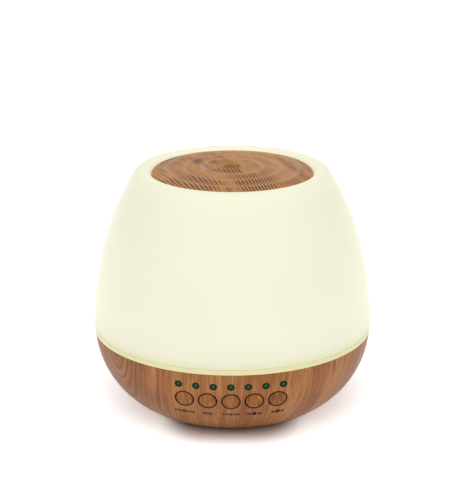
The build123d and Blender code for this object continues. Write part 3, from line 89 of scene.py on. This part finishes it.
# ---------------------------------------------------------------- node graphs
class Graph:
    """One material's node tree, written as short calls."""

    def __init__(self, name):
        self.material = bpy.data.materials.new(name)
        self.material.use_nodes = True
        self.tree = self.material.node_tree
        self.tree.nodes.clear()

    def add(self, kind, inputs=(), **settings):
        node = self.tree.nodes.new("ShaderNode" + kind)
        for key, value in settings.items():
            setattr(node, key, value)
        for key, value in dict(inputs).items():
            self.put(node.inputs[key], value)
        return node

    def put(self, socket, value):
        if isinstance(value, bpy.types.NodeSocket):
            self.tree.links.new(value, socket)
        else:
            socket.default_value = value

    def math(self, operation, first, second=0.0, third=0.0):
        node = self.add("Math", operation=operation)
        for socket, value in zip(node.inputs, (first, second, third)):
            self.put(socket, value)
        return node.outputs[0]

    def place(self):
        """Object position, which is the place in the frame."""
        return self.add("TexCoord").outputs["Object"]

    def split(self, place):
        """The x, y and z of a place."""
        return self.add("SeparateXYZ", {"Vector": place}).outputs

    def vector(self, x, y, z=0.0):
        return self.add("CombineXYZ", {"X": x, "Y": y, "Z": z}).outputs[0]

    def length(self, x, y):
        """Length of the flat vector x, y."""
        return self.add("VectorMath", {0: self.vector(x, y)}, operation="LENGTH").outputs["Value"]

    def noise(self, place, scale, detail=2.0, roughness=0.5):
        settings = {"Vector": place, "Scale": scale, "Detail": detail, "Roughness": roughness}
        return self.add("TexNoise", settings).outputs["Fac"]

    def span(self, value, low, high, to_low=0.0, to_high=1.0, smooth=False):
        """Value from low..high carried to to_low..to_high, clamped."""
        node = self.add(
            "MapRange",
            {"Value": value, "From Min": low, "From Max": high, "To Min": to_low, "To Max": to_high},
            interpolation_type="SMOOTHSTEP" if smooth else "LINEAR",
        )
        return node.outputs["Result"]

    def ramp(self, value, stops):
        node = self.add("ValToRGB", {"Fac": value})
        elements = node.color_ramp.elements
        while len(elements) < len(stops):
            elements.new(0.5)
        for element, (place, colour) in zip(elements, stops):
            element.position = place
            element.color = colour
        return node.outputs["Color"]

    def mix(self, share, first, second, blend="MIX"):
        node = self.add("Mix", data_type="RGBA", blend_type=blend)
        self.put(node.inputs["Factor"], share)
        self.put(node.inputs[6], first)
        self.put(node.inputs[7], second)
        return node.outputs[2]

    def bump(self, height, distance, strength):
        node = self.add("Bump", {"Height": height, "Distance": distance, "Strength": strength})
        return node.outputs["Normal"]

    def surface(self, inputs):
        shader = self.add("BsdfPrincipled", inputs)
        output = self.add("OutputMaterial")
        self.tree.links.new(shader.outputs[0], output.inputs["Surface"])
        return self.material


def dress(material, *names):
    """Put one material on CAD nodes."""
    for name in names:
        slots = NODES[name].data.materials
        slots.clear()
        slots.append(material)


# ---------------------------------------------------------------- wood look
TAN = srgb(167, 115, 68)
MID = srgb(148, 95, 50)
WARM = srgb(136, 82, 41)
DARK = srgb(92, 46, 20)
# painted shade in the gaps round the buttons, on the bowl
BUTTON_GAP_SHADE = srgb(60, 30, 14)
KEY_PALETTE = (srgb(152, 97, 38), srgb(134, 80, 28), srgb(116, 64, 20), srgb(66, 30, 8))
# painted shade at each key's rim, and in the gap round each lens
KEY_GAP_SHADE = srgb(60, 30, 12)
LENS_GAP_SHADE = srgb(14, 34, 14)

# layers of growth lines: noise scale, seed step, the noise from which and at which a line
# is full, and its strength
WIDE_LINES = (560.0, 3.0, 0.50, 0.60, 0.30)
FINE_LINES = (1150.0, 5.0, 0.44, 0.66, 0.40)
PALE_LINES = (820.0, 9.0, 0.56, 0.68, 0.45)
BAND_SCALE = 95.0
PORE_SCALE = 2300.0

# the ringed figure near the bowl's rim, at the left of the front
FIGURE_ANGLE = math.radians(-54)
FIGURE_Z = RIM_Z + 3 * MM
FIGURE_FLATTEN = 0.6
FIGURE_REACH = (14 * MM, 34 * MM)
FIGURE_RING_R = 15.6 * MM
FIGURE_RING_PITCH = 3.7 * MM

# painted shade, warm-tinted: what the bowl's colour is multiplied by, from its foot to its rim
BOWL_PAINTED_SHADE = [
    (0.0, (1.0, 1.0, 0.9, 1.0)),
    (0.3, (0.82, 0.78, 0.70, 1.0)),
    (1.0, (0.97, 0.96, 0.94, 1.0)),
]


def growth_lines(g, across, along, seed, layer, strength, base, tone):
    """One layer of growth lines over a base colour, and the noise that it comes from."""
    scale, step, low, high, share = layer
    noise = g.noise(g.vector(across, along, seed + step), scale, 1.0)
    return g.mix(g.span(noise, low, high, 0.0, share * strength), base, tone), noise


def grain_colour(g, across, along, palette, seed, strength=1.0):
    """Printed grain: broad bands, growth lines of three widths and short pores."""
    light, mid, warm, dark = palette
    bands = g.noise(g.vector(across, along, seed), BAND_SCALE, 3.0, 0.65)
    base = g.ramp(
        g.span(bands, 0.3, 0.7),
        [(0.0, warm), (0.35, mid), (0.62, light), (0.85, mid), (1.0, warm)],
    )
    base, _ = growth_lines(g, across, along, seed, WIDE_LINES, strength, base, dark)
    base, fine = growth_lines(g, across, along, seed, FINE_LINES, strength, base, dark)
    base, _ = growth_lines(g, across, along, seed, PALE_LINES, strength, base, light)
    short = g.vector(across, g.math("MULTIPLY", along, 2.0), seed + 7.0)
    pores = g.noise(short, PORE_SCALE, 2.0, 0.7)
    fleck = g.span(pores, 0.54, 0.70, 0.0, 0.40 * strength)
    base = g.mix(fleck, base, dark)
    relief = g.math("SUBTRACT", g.math("MULTIPLY", fine, -0.5), fleck)
    return base, relief


def from_row(g, x, z, centre_x, centre_z, pitch, count):
    """Distance from the nearest middle in a level row of round things, seen from the front."""
    reach = pitch * (count / 2)
    x = g.math("SUBTRACT", x, centre_x)
    side = g.math("WRAP", x, pitch / 2, -pitch / 2)
    beyond = g.math("MAXIMUM", g.math("SUBTRACT", g.math("ABSOLUTE", x), reach), 0.0)
    side = g.math("ADD", g.math("ABSOLUTE", side), beyond)
    return g.length(side, g.math("SUBTRACT", z, centre_z))


def from_button(g, x, z):
    return from_row(g, x, z, 0.0, BUTTON_Z, BUTTON_PITCH, len(BUTTONS))


def from_lens(g, x, z):
    return from_row(g, x, z, LENS_X, LENS_Z, LENS_PITCH, LENS_COUNT)


def bowl_wood():
    """Grain that runs down the bowl's meridians and rings round one figure at the left."""
    g = Graph("bowl_wood")
    place = g.place()
    x, y, z = g.split(place)
    angle = g.math("ARCTAN2", x, g.math("MULTIPLY", y, -1.0))
    turn = g.math("WRAP", g.math("SUBTRACT", angle, FIGURE_ANGLE), math.pi, -math.pi)
    arc = g.math("MULTIPLY", turn, BODY_R)
    drop = g.math("MULTIPLY", g.math("SUBTRACT", z, FIGURE_Z), FIGURE_FLATTEN)
    ring = g.length(arc, drop)
    near = g.span(ring, *FIGURE_REACH, 1.0, 0.0, smooth=True)
    sway = g.math("SUBTRACT", g.noise(place, 24.0, 2.0), 0.5)
    wobble = g.math("SUBTRACT", g.noise(place, 130.0, 2.0), 0.5)
    swing = g.math("MULTIPLY_ADD", near, 4 * MM, 1.0 * MM)
    across = g.math("MULTIPLY_ADD", sway, swing, ring)
    across = g.math("MULTIPLY_ADD", wobble, 0.5 * MM, across)
    along = g.math("MULTIPLY", z, 0.05)
    colour, relief = grain_colour(g, across, along, (TAN, MID, WARM, DARK), 1.3)
    # the figure's own rings, the strongest one a third of the way to the panel
    phase = g.math("SUBTRACT", across, FIGURE_RING_R)
    rings = g.math("COSINE", g.math("MULTIPLY", phase, 2 * math.pi / FIGURE_RING_PITCH))
    rings = g.span(rings, 0.0, 0.95, 0.0, 0.62, smooth=True)
    rings = g.math("MULTIPLY", rings, g.span(ring, 5 * MM, 13 * MM, 0.25, 1.0))
    colour = g.mix(g.math("MULTIPLY", rings, near), colour, DARK)
    # painted shade, deepest a third of the way up, and painted shade in the gaps round the buttons
    # and lenses
    height = g.span(z, BODY_LOW.z, RIM_Z)
    colour = g.mix(1.0, colour, g.ramp(height, BOWL_PAINTED_SHADE), "MULTIPLY")
    # painted shade in the gaps round the buttons, at the front
    rim = g.math("SUBTRACT", from_button(g, x, z), BUTTON_R + BUTTON_GAP)
    front = g.span(y, -0.5 * BODY_R, -0.4 * BODY_R, 1.0, 0.0)
    gap_shade = g.math("MULTIPLY", g.span(rim, 0.0, 0.8 * MM, 0.3, 0.0, smooth=True), front)
    colour = g.mix(gap_shade, colour, BUTTON_GAP_SHADE)
    # painted shade in the gaps round the lenses
    socket = g.math("SUBTRACT", from_lens(g, x, z), LENS_R)
    gap_shade = g.math("MULTIPLY", g.span(socket, 0.35 * MM, 0.6 * MM, 0.85, 0.0, smooth=True), front)
    colour = g.mix(gap_shade, colour, LENS_GAP_SHADE)
    return g.surface(
        {
            "Base Color": colour,
            "Roughness": g.span(relief, -0.8, 0.0, 0.5, 0.4),
            "Normal": g.bump(relief, 0.05 * MM, 0.6),
            "Specular IOR Level": 0.2,
        }
    )


def button_wood(name, seed):
    """The same print on a key, yellower, with fine upright lines."""
    g = Graph(name + "_wood")
    place = g.place()
    x, _, z = g.split(place)
    sway = g.math("SUBTRACT", g.noise(place, 160.0, 1.0), 0.5)
    across = g.math("MULTIPLY_ADD", sway, 1.2 * MM, x)
    along = g.math("MULTIPLY", z, 0.12)
    colour, relief = grain_colour(g, across, along, KEY_PALETTE, seed, 1.3)
    # painted shade at the key's rim, by the gap round it
    edge = g.math("SUBTRACT", BUTTON_R, from_button(g, x, z))
    colour = g.mix(g.span(edge, 0.0, 0.6 * MM, 0.35, 0.0, smooth=True), colour, KEY_GAP_SHADE)
    return g.surface(
        {
            "Base Color": colour,
            "Roughness": g.span(relief, -0.6, 0.0, 0.52, 0.42),
            "Normal": g.bump(relief, 0.05 * MM, 0.6),
            "Specular IOR Level": 0.2,
        }
    )


def soft_patch(g, x, y, centre, reach, edge=0.25):
    """1 inside an ellipse on the disc, fading to 0 over a share of its reach."""
    side = g.math("DIVIDE", g.math("SUBTRACT", x, centre[0] * MM), reach[0] * MM)
    rise = g.math("DIVIDE", g.math("SUBTRACT", y, centre[1] * MM), reach[1] * MM)
    return g.span(g.length(side, rise), 1 - edge, 1 + edge, 1.0, 0.0, smooth=True)


# where the disc's growth lines are strong and where it has brown knots:
# centre, reach and strength, in millimetres
LINED_PATCHES = [
    ((15.0, -33.0), (13.0, 18.0), 1.0),
    ((-5.0, -11.0), (11.0, 6.0), 0.9),
    ((-24.0, -33.0), (20.0, 14.0), 0.8),
]
KNOTS = [
    ((-21.7, 17.0), (5.0, 5.0), 0.6),
    ((-11.6, 10.0), (3.6, 3.6), 0.6),
    ((-34.0, 25.0), (6.0, 5.0), 0.45),
    ((37.0, -28.0), (5.0, 6.5), 0.35),
]
RIPPLE_PITCH = 10.7 * MM
RIPPLE_CREST_R = 7.3 * MM
MIST_HOLE_R = 5.0 * MM
DISC_PALETTE = (srgb(184, 131, 75), srgb(166, 112, 60), srgb(144, 90, 44), srgb(86, 44, 18))
DISC_SLANT = math.radians(22)
DISC_LINE_PITCH = 2.05 * MM
DISC_LINE_BEND = 0.05 / DISC_R
LINE_DARK = srgb(74, 36, 12)
LINE_PALE = srgb(206, 148, 88)
PATCH_TONE = srgb(136, 82, 34)
KNOT_TONE = srgb(92, 50, 26)
# painted sheen on the ripples' tops
CREST_PAINTED_SHEEN = srgb(184, 158, 136)
# painted light down the mist hole
HOLE_PAINTED_LIGHT = srgb(236, 186, 122)


def disc_wood():
    """Slanting growth lines in patches, with a few brown knots, over the ripples."""
    g = Graph("disc_wood")
    place = g.place()
    x, y, _ = g.split(place)
    sway = g.math("SUBTRACT", g.noise(place, 30.0, 2.0), 0.5)
    across = g.math("MULTIPLY", x, math.cos(DISC_SLANT))
    across = g.math("MULTIPLY_ADD", y, math.sin(DISC_SLANT), across)
    across = g.math("MULTIPLY_ADD", g.math("MULTIPLY", x, x), DISC_LINE_BEND, across)
    across = g.math("MULTIPLY_ADD", sway, 3 * MM, across)
    along = g.math("MULTIPLY", x, -math.sin(DISC_SLANT))
    along = g.math("MULTIPLY_ADD", y, math.cos(DISC_SLANT), along)
    slow = g.math("MULTIPLY", along, 0.12)
    colour, relief = grain_colour(g, across, slow, DISC_PALETTE, 5.1, 0.55)
    # ragged edges for the patches
    tear = g.noise(g.vector(across, g.math("MULTIPLY", along, 0.3), 4.0), 220.0)
    tear = g.math("SUBTRACT", tear, 0.5)
    torn_x = g.math("MULTIPLY_ADD", tear, 6 * MM, x)
    torn_y = g.math("MULTIPLY_ADD", tear, 14 * MM, y)
    wave = g.math("SINE", g.math("MULTIPLY", across, 2 * math.pi / DISC_LINE_PITCH))
    lines = g.span(wave, -0.2, 0.7, 0.0, 1.0, smooth=True)
    faint = g.noise(g.vector(across, g.math("MULTIPLY", along, 0.7), 2.6), 34.0, 1.0)
    strength = g.span(faint, 0.48, 0.62, 0.0, 0.28, smooth=True)
    for centre, reach, share in LINED_PATCHES:
        patch = g.math("MULTIPLY", soft_patch(g, torn_x, torn_y, centre, reach), share)
        strength = g.math("MAXIMUM", strength, patch)
        colour = g.mix(g.math("MULTIPLY", patch, 0.35), colour, PATCH_TONE)
    colour = g.mix(g.math("MULTIPLY", lines, strength), colour, LINE_DARK)
    pale = g.math("MULTIPLY", g.span(wave, -1.0, -0.3, 0.55, 0.0, smooth=True), strength)
    colour = g.mix(pale, colour, LINE_PALE)
    for centre, reach, share in KNOTS:
        knot = g.math("MULTIPLY", soft_patch(g, torn_x, torn_y, centre, reach, 0.5), share)
        colour = g.mix(knot, colour, KNOT_TONE)
    # painted sheen along the tops of the ripples, and painted light down the mist hole
    radius = g.length(x, y)
    phase = g.math("DIVIDE", g.math("SUBTRACT", radius, RIPPLE_CREST_R), RIPPLE_PITCH)
    crest_sheen = g.math("COSINE", g.math("MULTIPLY", phase, 2 * math.pi))
    crest_sheen = g.span(crest_sheen, 0.2, 1.0, 0.0, 0.24, smooth=True)
    crest_sheen = g.math("MULTIPLY", crest_sheen, g.span(radius, 8 * MM, 15 * MM))
    colour = g.mix(crest_sheen, colour, CREST_PAINTED_SHEEN)
    # painted light on the mist hole's wall
    hole_light = g.span(radius, MIST_HOLE_R, MIST_HOLE_R + 0.3 * MM, 0.22, 0.0)
    colour = g.mix(hole_light, colour, HOLE_PAINTED_LIGHT)
    return g.surface(
        {
            "Base Color": colour,
            "Roughness": g.span(relief, -0.8, 0.0, 0.40, 0.30),
            "Normal": g.bump(relief, 0.06 * MM, 0.6),
            "Specular IOR Level": 0.28,
        }
    )


# ---------------------------------------------------------------- glowing parts
LIP_WIDTH = 16 * MM
FOOT_HEIGHT = 6 * MM


def glow(name, tint, body, heights, powers, roughness, lip=0.0, foot=0.0):
    """Translucent plastic lit from inside, its light rising from the first height and power
    to the second, with more or less of it at the lip round the disc and at the foot."""
    g = Graph(name)
    place = g.place()
    x, y, z = g.split(place)
    cloud = g.noise(place, 18.0)
    power = g.span(z, *heights, *powers, smooth=True)
    power = g.math("MULTIPLY", power, g.span(cloud, 0.3, 0.7, 0.985, 1.015))
    # painted light at the lip round the disc, on top of the glow
    lip_light = g.span(g.length(x, y), DISC_R, DISC_R + LIP_WIDTH, lip, 0.0, smooth=True)
    power = g.math("ADD", power, lip_light)
    warm = g.span(z, heights[0], heights[0] + FOOT_HEIGHT, 1.0, 0.0, smooth=True)
    yellow = (tint[0], tint[1] * 0.98, tint[2] * 0.72, 1.0)
    power = g.math("MULTIPLY_ADD", warm, foot, power)
    grain = g.noise(place, 2200.0, 2.0)
    return g.surface(
        {
            "Base Color": body,
            "Roughness": roughness,
            "Emission Color": g.mix(warm, tint, yellow),
            "Emission Strength": power,
            "Normal": g.bump(grain, 0.01 * MM, 0.4),
            "Specular IOR Level": 0.35,
        }
    )


def green_lens():
    """Round green light pipes, darker at the rim."""
    g = Graph("green_lens")
    x, _, z = g.split(g.place())
    share = g.math("DIVIDE", from_lens(g, x, z), LENS_R)
    colour = g.ramp(
        share,
        [
            (0.0, srgb(30, 104, 56)),
            (0.35, srgb(8, 70, 30)),
            (0.7, srgb(2, 44, 16)),
            (1.0, srgb(1, 18, 5)),
        ],
    )
    return g.surface(
        {
            "Base Color": colour,
            "Roughness": 0.18,
            "Emission Color": colour,
            "Emission Strength": 0.06,
            "Specular IOR Level": 0.1,
        }
    )


# ---------------------------------------------------------------- plastic, metal and boards
MOULDED_SHADE = 0.88
METAL_SHADE = 0.85


def shaded(colour, share):
    return tuple(channel * share for channel in colour[:3]) + (1.0,)


def moulded(name, colour, roughness, texture=900.0, depth=0.02):
    """Moulded plastic or rubber with a fine surface texture."""
    g = Graph(name)
    place = g.place()
    grain = g.noise(place, texture, 3.0, 0.6)
    cloud = g.noise(place, 40.0)
    darker = shaded(colour, MOULDED_SHADE)
    return g.surface(
        {
            "Base Color": g.mix(g.span(cloud, 0.3, 0.7), darker, colour),
            "Roughness": g.span(grain, 0.3, 0.7, roughness - 0.06, roughness + 0.06),
            "Normal": g.bump(grain, depth * MM, 0.5),
        }
    )


def metal(name, colour, roughness):
    """Turned or drawn metal with fine marks along Z."""
    g = Graph(name)
    stretch = (1.0, 1.0, 0.05)
    marks = g.add("VectorMath", {0: g.place(), 1: stretch}, operation="MULTIPLY").outputs[0]
    scratch = g.noise(marks, 3200.0, 2.0, 0.6)
    darker = shaded(colour, METAL_SHADE)
    return g.surface(
        {
            "Base Color": g.mix(g.span(scratch, 0.3, 0.7), darker, colour),
            "Metallic": 1.0,
            "Roughness": g.span(scratch, 0.3, 0.7, roughness - 0.08, roughness + 0.08),
            "Normal": g.bump(scratch, 0.01 * MM, 0.4),
        }
    )


def circuit(name):
    """Green solder mask with faint tracks under it."""
    g = Graph(name)
    cells = g.add(
        "TexVoronoi",
        {"Vector": g.place(), "Scale": 260.0},
        feature="DISTANCE_TO_EDGE",
        distance="CHEBYCHEV",
    )
    track = g.span(cells.outputs["Distance"], 0.05, 0.09, 1.0, 0.0)
    colour = g.mix(track, srgb(16, 82, 44), srgb(34, 118, 66))
    return g.surface(
        {
            "Base Color": colour,
            "Roughness": 0.32,
            "Normal": g.bump(track, 0.03 * MM, 0.6),
            "Coat Weight": 0.2,
        }
    )


WIRE_PITCH = 0.45 * MM


def winding(name):
    """Enamelled copper wire, wound round Z."""
    g = Graph(name)
    z = g.split(g.place())[2]
    turns = g.math("SINE", g.math("MULTIPLY", z, 2 * math.pi / WIRE_PITCH))
    # painted shade between the turns and painted highlight on their tops
    return g.surface(
        {
            "Base Color": g.mix(g.span(turns, -1.0, 1.0), srgb(120, 58, 24), srgb(196, 112, 58)),
            "Metallic": 0.8,
            "Roughness": 0.3,
            "Normal": g.bump(turns, 0.1 * MM, 0.8),
        }
    )


# ---------------------------------------------------------------- dress the CAD nodes
WARM_WHITE = (1.0, 0.975, 0.70, 1.0)
COVER_BODY = srgb(156, 155, 143)
BAND_BODY = srgb(172, 168, 140)
BAND_TINT = (1.0, 0.95, 0.34, 1.0)
NOZZLE_BODY = srgb(206, 160, 104)
NOZZLE_TINT = (1.0, 0.72, 0.40, 1.0)
COVER_FADE = (COVER_LOW.z, COVER_LOW.z + 20 * MM)
BAND_FADE = (RIM_Z, RIM_Z + 50 * MM)
LED_FADE = (RIM_Z - 10 * MM, RIM_Z)

dress(bowl_wood(), "base_shell")
dress(disc_wood(), "top_disc")
for index, button in enumerate(BUTTONS):
    dress(button_wood(button, 2.0 + 1.7 * index), button + "_button")
dress(
    glow("cover_glow", WARM_WHITE, COVER_BODY, COVER_FADE, (0.40, 0.44), 0.45, 0.09, -0.055),
    "cover_shell",
)
dress(
    glow("tank_glow", BAND_TINT, BAND_BODY, BAND_FADE, (0.19, 0.27), 0.4, 0.0, 0.035),
    "water_tank",
)
dress(
    glow("lid_glow", WARM_WHITE, srgb(236, 238, 236), (RIM_Z, COVER_HIGH.z), (0.12, 0.12), 0.25),
    "tank_lid",
)
dress(green_lens(), "indicator_lenses")
dress(moulded("white_moulding", srgb(232, 230, 220), 0.4), "air_duct")
dress(
    glow("nozzle_glow", NOZZLE_TINT, NOZZLE_BODY, (RIM_Z, DISC_HIGH.z), (0.12, 0.12), 0.5),
    "mist_nozzle",
)
dress(
    moulded("black_moulding", srgb(38, 38, 40), 0.55, 700.0, 0.05),
    "bottom_cover",
    "fan_housing",
    "fan_impeller",
    "piezo_retainer",
    "button_bracket",
    "dc_jack",
)
dress(moulded("foot_rubber", srgb(30, 30, 31), 0.75, 500.0, 0.06), "rubber_feet")
dress(
    moulded("silicone", srgb(214, 214, 208), 0.55),
    "nozzle_seal",
    "tank_seal",
    "piezo_seal",
)
dress(
    metal("zinc_steel", (0.62, 0.62, 0.63, 1.0), 0.3),
    "bottom_screws",
    "tank_screws",
    "retainer_screws",
    "board_screws",
    "fan_screws",
    "panel_screws",
    "disc_screws",
    "nozzle_screws",
    "fan_shaft",
)
dress(metal("nickel_plate", (0.74, 0.72, 0.67, 1.0), 0.25), "piezo_disc", "jack_pin", "jack_nut")
dress(metal("sintered_bronze", (0.58, 0.40, 0.22, 1.0), 0.45), "fan_bearing")
dress(metal("can_aluminium", (0.78, 0.79, 0.80, 1.0), 0.22), "capacitors")
dress(metal("sink_aluminium", (0.30, 0.31, 0.33, 1.0), 0.4), "heat_sink")
dress(circuit("solder_mask"), "driver_board", "led_ring_board", "button_board")
dress(winding("copper_winding"), "inductor", "fan_stator")
dress(
    moulded("epoxy_black", srgb(28, 28, 30), 0.45),
    "driver_transistor",
    "control_chips",
    "tact_switches",
    *[button + "_plunger" for button in BUTTONS],
)
dress(moulded("ferrite", srgb(44, 44, 47), 0.6), "fan_magnet")
dress(moulded("connector_white", srgb(226, 221, 204), 0.45), "board_connectors")
dress(
    glow("led_package", WARM_WHITE, srgb(240, 236, 200), LED_FADE, (2.0, 2.0), 0.3),
    "mood_leds",
    "indicator_leds",
)
dress(moulded("lead_red", srgb(150, 30, 24), 0.4), "piezo_leads", "fan_leads", "jack_leads")
dress(moulded("lead_grey", srgb(150, 150, 150), 0.45), "led_leads", "button_ribbon")


# ---------------------------------------------------------------- printed marks under the buttons
INK_WIDTH = 0.78 * MM
INK_PROUD = 0.04 * MM
INK_SUNK = 0.02 * MM
MARK_DROP = 10.1 * MM
RAY_START_Y = -0.2
INWARD = Vector((0, 1, 0))


def arc_points(centre, radius, start, end, count):
    angles = [math.radians(start + (end - start) * i / count) for i in range(count + 1)]
    return [(centre[0] + radius * math.cos(a), centre[1] + radius * math.sin(a)) for a in angles]


def wave_points(x, height, swing):
    steps = 8
    return [
        (x + swing * math.sin(2 * math.pi * i / steps), -height / 2 + height * i / steps)
        for i in range(steps + 1)
    ]


def tick(x, height):
    return [(x, -height / 2), (x, 0.0), (x, height / 2)]


def scale(first, last, count):
    """A short row of ticks, alternately long and short, both sides of the centre."""
    strokes = []
    for i in range(count):
        x = first + (last - first) * i / (count - 1)
        height = 1.6 if i % 2 else 1.0
        strokes += [tick(x, height), tick(-x, height)]
    return strokes


def marks():
    """Strokes of each button's pictogram, in millimetres about its centre."""
    power = [arc_points((0, 0), 1.0, 125, 415, 14), [(0, 0.2), (0, 0.8), (0, 1.3)]]
    power += scale(2.1, 5.3, 4)
    high = [wave_points(x, 1.9, 0.3) for x in (-2.2, -0.75, 0.75, 2.2)]
    low = [wave_points(0.0, 1.9, 0.3)] + scale(1.2, 4.4, 4)
    light = [arc_points((0, 0), 0.6, 0, 360, 12)]
    for spoke in range(8):
        a = math.radians(45 * spoke)
        light.append([(math.cos(a) * r, math.sin(a) * r) for r in (0.95, 1.15, 1.35)])
    light += scale(2.2, 3.9, 3)
    timer = [arc_points((0, 0), 1.1, 0, 360, 16), [(0, 0.75), (0, 0.0), (0.55, -0.3)]]
    timer += scale(2.1, 3.0, 2)
    return [power, high, low, light, timer]


def bowl_tree():
    mesh = NODES["base_shell"].data
    return BVHTree.FromPolygons([v.co for v in mesh.vertices], [p.vertices for p in mesh.polygons])


def stroke_mesh(tree, strokes, centre_x, centre_z):
    """Thin raised ink lines laid on the bowl, each one a closed strip."""
    verts, faces = [], []
    for line in strokes:
        points = [Vector((centre_x + px * MM, 0, centre_z + pz * MM)) for px, pz in line]
        base = len(verts)
        for i, point in enumerate(points):
            before, after = points[max(i - 1, 0)], points[min(i + 1, len(points) - 1)]
            along = (after - before).normalized()
            sideways = Vector((-along.z, 0, along.x)) * (INK_WIDTH / 2)
            for side in (1, -1):
                seen = point + sideways * side
                hit, normal, _, _ = tree.ray_cast(Vector((seen.x, RAY_START_Y, seen.z)), INWARD)
                verts.append(hit + normal * INK_PROUD)
                verts.append(hit - normal * INK_SUNK)
        for i in range(len(points) - 1):
            a, b = base + 4 * i, base + 4 * i + 4
            faces += [(a, b, b + 2, a + 2), (a + 1, a + 3, b + 3, b + 1)]
            faces += [(a, a + 1, b + 1, b), (a + 2, b + 2, b + 3, a + 3)]
        last = base + 4 * (len(points) - 1)
        faces += [(base, base + 2, base + 3, base + 1), (last, last + 1, last + 3, last + 2)]
    return verts, faces


def printed_ink():
    g = Graph("printed_ink")
    worn = g.noise(g.place(), 1500.0)
    colour = g.mix(g.span(worn, 0.35, 0.7), srgb(26, 12, 6), srgb(52, 28, 16))
    return g.surface(
        {
            "Base Color": colour,
            "Roughness": 0.7,
            "Normal": g.bump(worn, 0.01 * MM, 0.4),
            "Specular IOR Level": 0.05,
        }
    )


def make_marks():
    tree = bowl_tree()
    ink = printed_ink()
    for button, strokes in zip(BUTTONS, marks()):
        centre = middle(button + "_button")
        verts, faces = stroke_mesh(tree, strokes, centre.x, centre.z - MARK_DROP)
        mesh = bpy.data.meshes.new(button + "_mark")
        mesh.from_pydata(verts, [], faces)
        mesh.update()
        mesh.materials.append(ink)
        piece = bpy.data.objects.new(button + "_mark", mesh)
        bpy.context.scene.collection.objects.link(piece)
        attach(piece, "base")


make_marks()


# ---------------------------------------------------------------- floor, lights, camera
FLOOR_HALF = 6.0
SHADOW_POWER = 4.0
SHADOW_HALF_WIDTH = BODY_R / 1.8
SHADOW_TONE = (0.60, 0.47, 0.42, 1)


def make_floor():
    """Pale floor, lit from under like a light table except close to the object."""
    size = FLOOR_HALF
    mesh = bpy.data.meshes.new("floor")
    corners = [(-size, -size, 0), (size, -size, 0), (size, size, 0), (-size, size, 0)]
    mesh.from_pydata(corners, [], [(0, 1, 2, 3)])
    g = Graph("floor_white")
    place = g.place()
    x, y, _ = g.split(place)
    side = g.math("DIVIDE", g.math("ABSOLUTE", x), SHADOW_HALF_WIDTH)
    ahead = g.math("DIVIDE", g.math("ABSOLUTE", y), BODY_R)
    side = g.math("POWER", side, SHADOW_POWER)
    ahead = g.math("POWER", ahead, SHADOW_POWER)
    reach = g.math("POWER", g.math("ADD", side, ahead), 1 / SHADOW_POWER)
    cloud = g.noise(place, 3.0)
    tone = g.mix(g.span(cloud, 0.3, 0.7), (0.92, 0.92, 0.92, 1), (0.94, 0.94, 0.94, 1))
    under = g.span(reach, 0.60, 0.92, 1.0, 0.0, smooth=True)
    tone = g.mix(under, tone, SHADOW_TONE)
    lit = g.span(reach, 0.64, 1.0, 0.0, 0.36, smooth=True)
    shade = g.surface(
        {
            "Base Color": tone,
            "Roughness": 0.9,
            "Specular IOR Level": 0.1,
            "Emission Color": (1.0, 0.985, 0.98, 1.0),
            "Emission Strength": lit,
        }
    )
    mesh.materials.append(shade)
    floor = bpy.data.objects.new("floor", mesh)
    bpy.context.scene.collection.objects.link(floor)


def soft_sun(name, azimuth, elevation, spread, strength):
    """A distant softbox; azimuth is measured from the front, angles are in degrees."""
    lamp = bpy.data.lights.new(name, "SUN")
    lamp.angle = math.radians(spread)
    lamp.energy = strength
    light = bpy.data.objects.new(name, lamp)
    a, e = math.radians(azimuth), math.radians(elevation)
    towards = Vector((math.sin(a) * math.cos(e), -math.cos(a) * math.cos(e), math.sin(e)))
    light.rotation_euler = (-towards).to_track_quat("-Z", "Y").to_euler()
    bpy.context.scene.collection.objects.link(light)


def make_world(strength):
    world = bpy.data.worlds.new("studio")
    world.use_nodes = True
    background = world.node_tree.nodes["Background"]
    background.inputs["Color"].default_value = (1, 1, 1, 1)
    background.inputs["Strength"].default_value = strength
    bpy.context.scene.world = world


def make_camera():
    """A long lens, a little above the object and half a degree right of its front."""
    distance = 1.016
    elevation = math.radians(17.74)
    turn = math.radians(0.5)
    aim_height = 101.2 * MM
    aside = 3.07 * MM
    focal_length = 126.3
    sensor_width = 36.0
    right = Vector((math.cos(turn), math.sin(turn), 0))
    away = Vector(
        (
            math.sin(turn) * math.cos(elevation),
            -math.cos(turn) * math.cos(elevation),
            math.sin(elevation),
        )
    )
    target = right * aside + Vector((0, 0, aim_height))
    lens = bpy.data.cameras.new("camera")
    lens.lens = focal_length
    lens.sensor_width = sensor_width
    camera = bpy.data.objects.new("camera", lens)
    camera.location = target + away * distance
    camera.rotation_euler = (-away).to_track_quat("-Z", "Y").to_euler()
    bpy.context.scene.collection.objects.link(camera)
    bpy.context.scene.camera = camera


make_floor()
make_world(0.50)
soft_sun("front left", -38, 50, 70, 1.15)
soft_sun("front right", 42, 46, 70, 1.05)
soft_sun("top", 0, 85, 60, 0.55)
make_camera()
bpy.context.scene.view_settings.view_transform = "Standard"
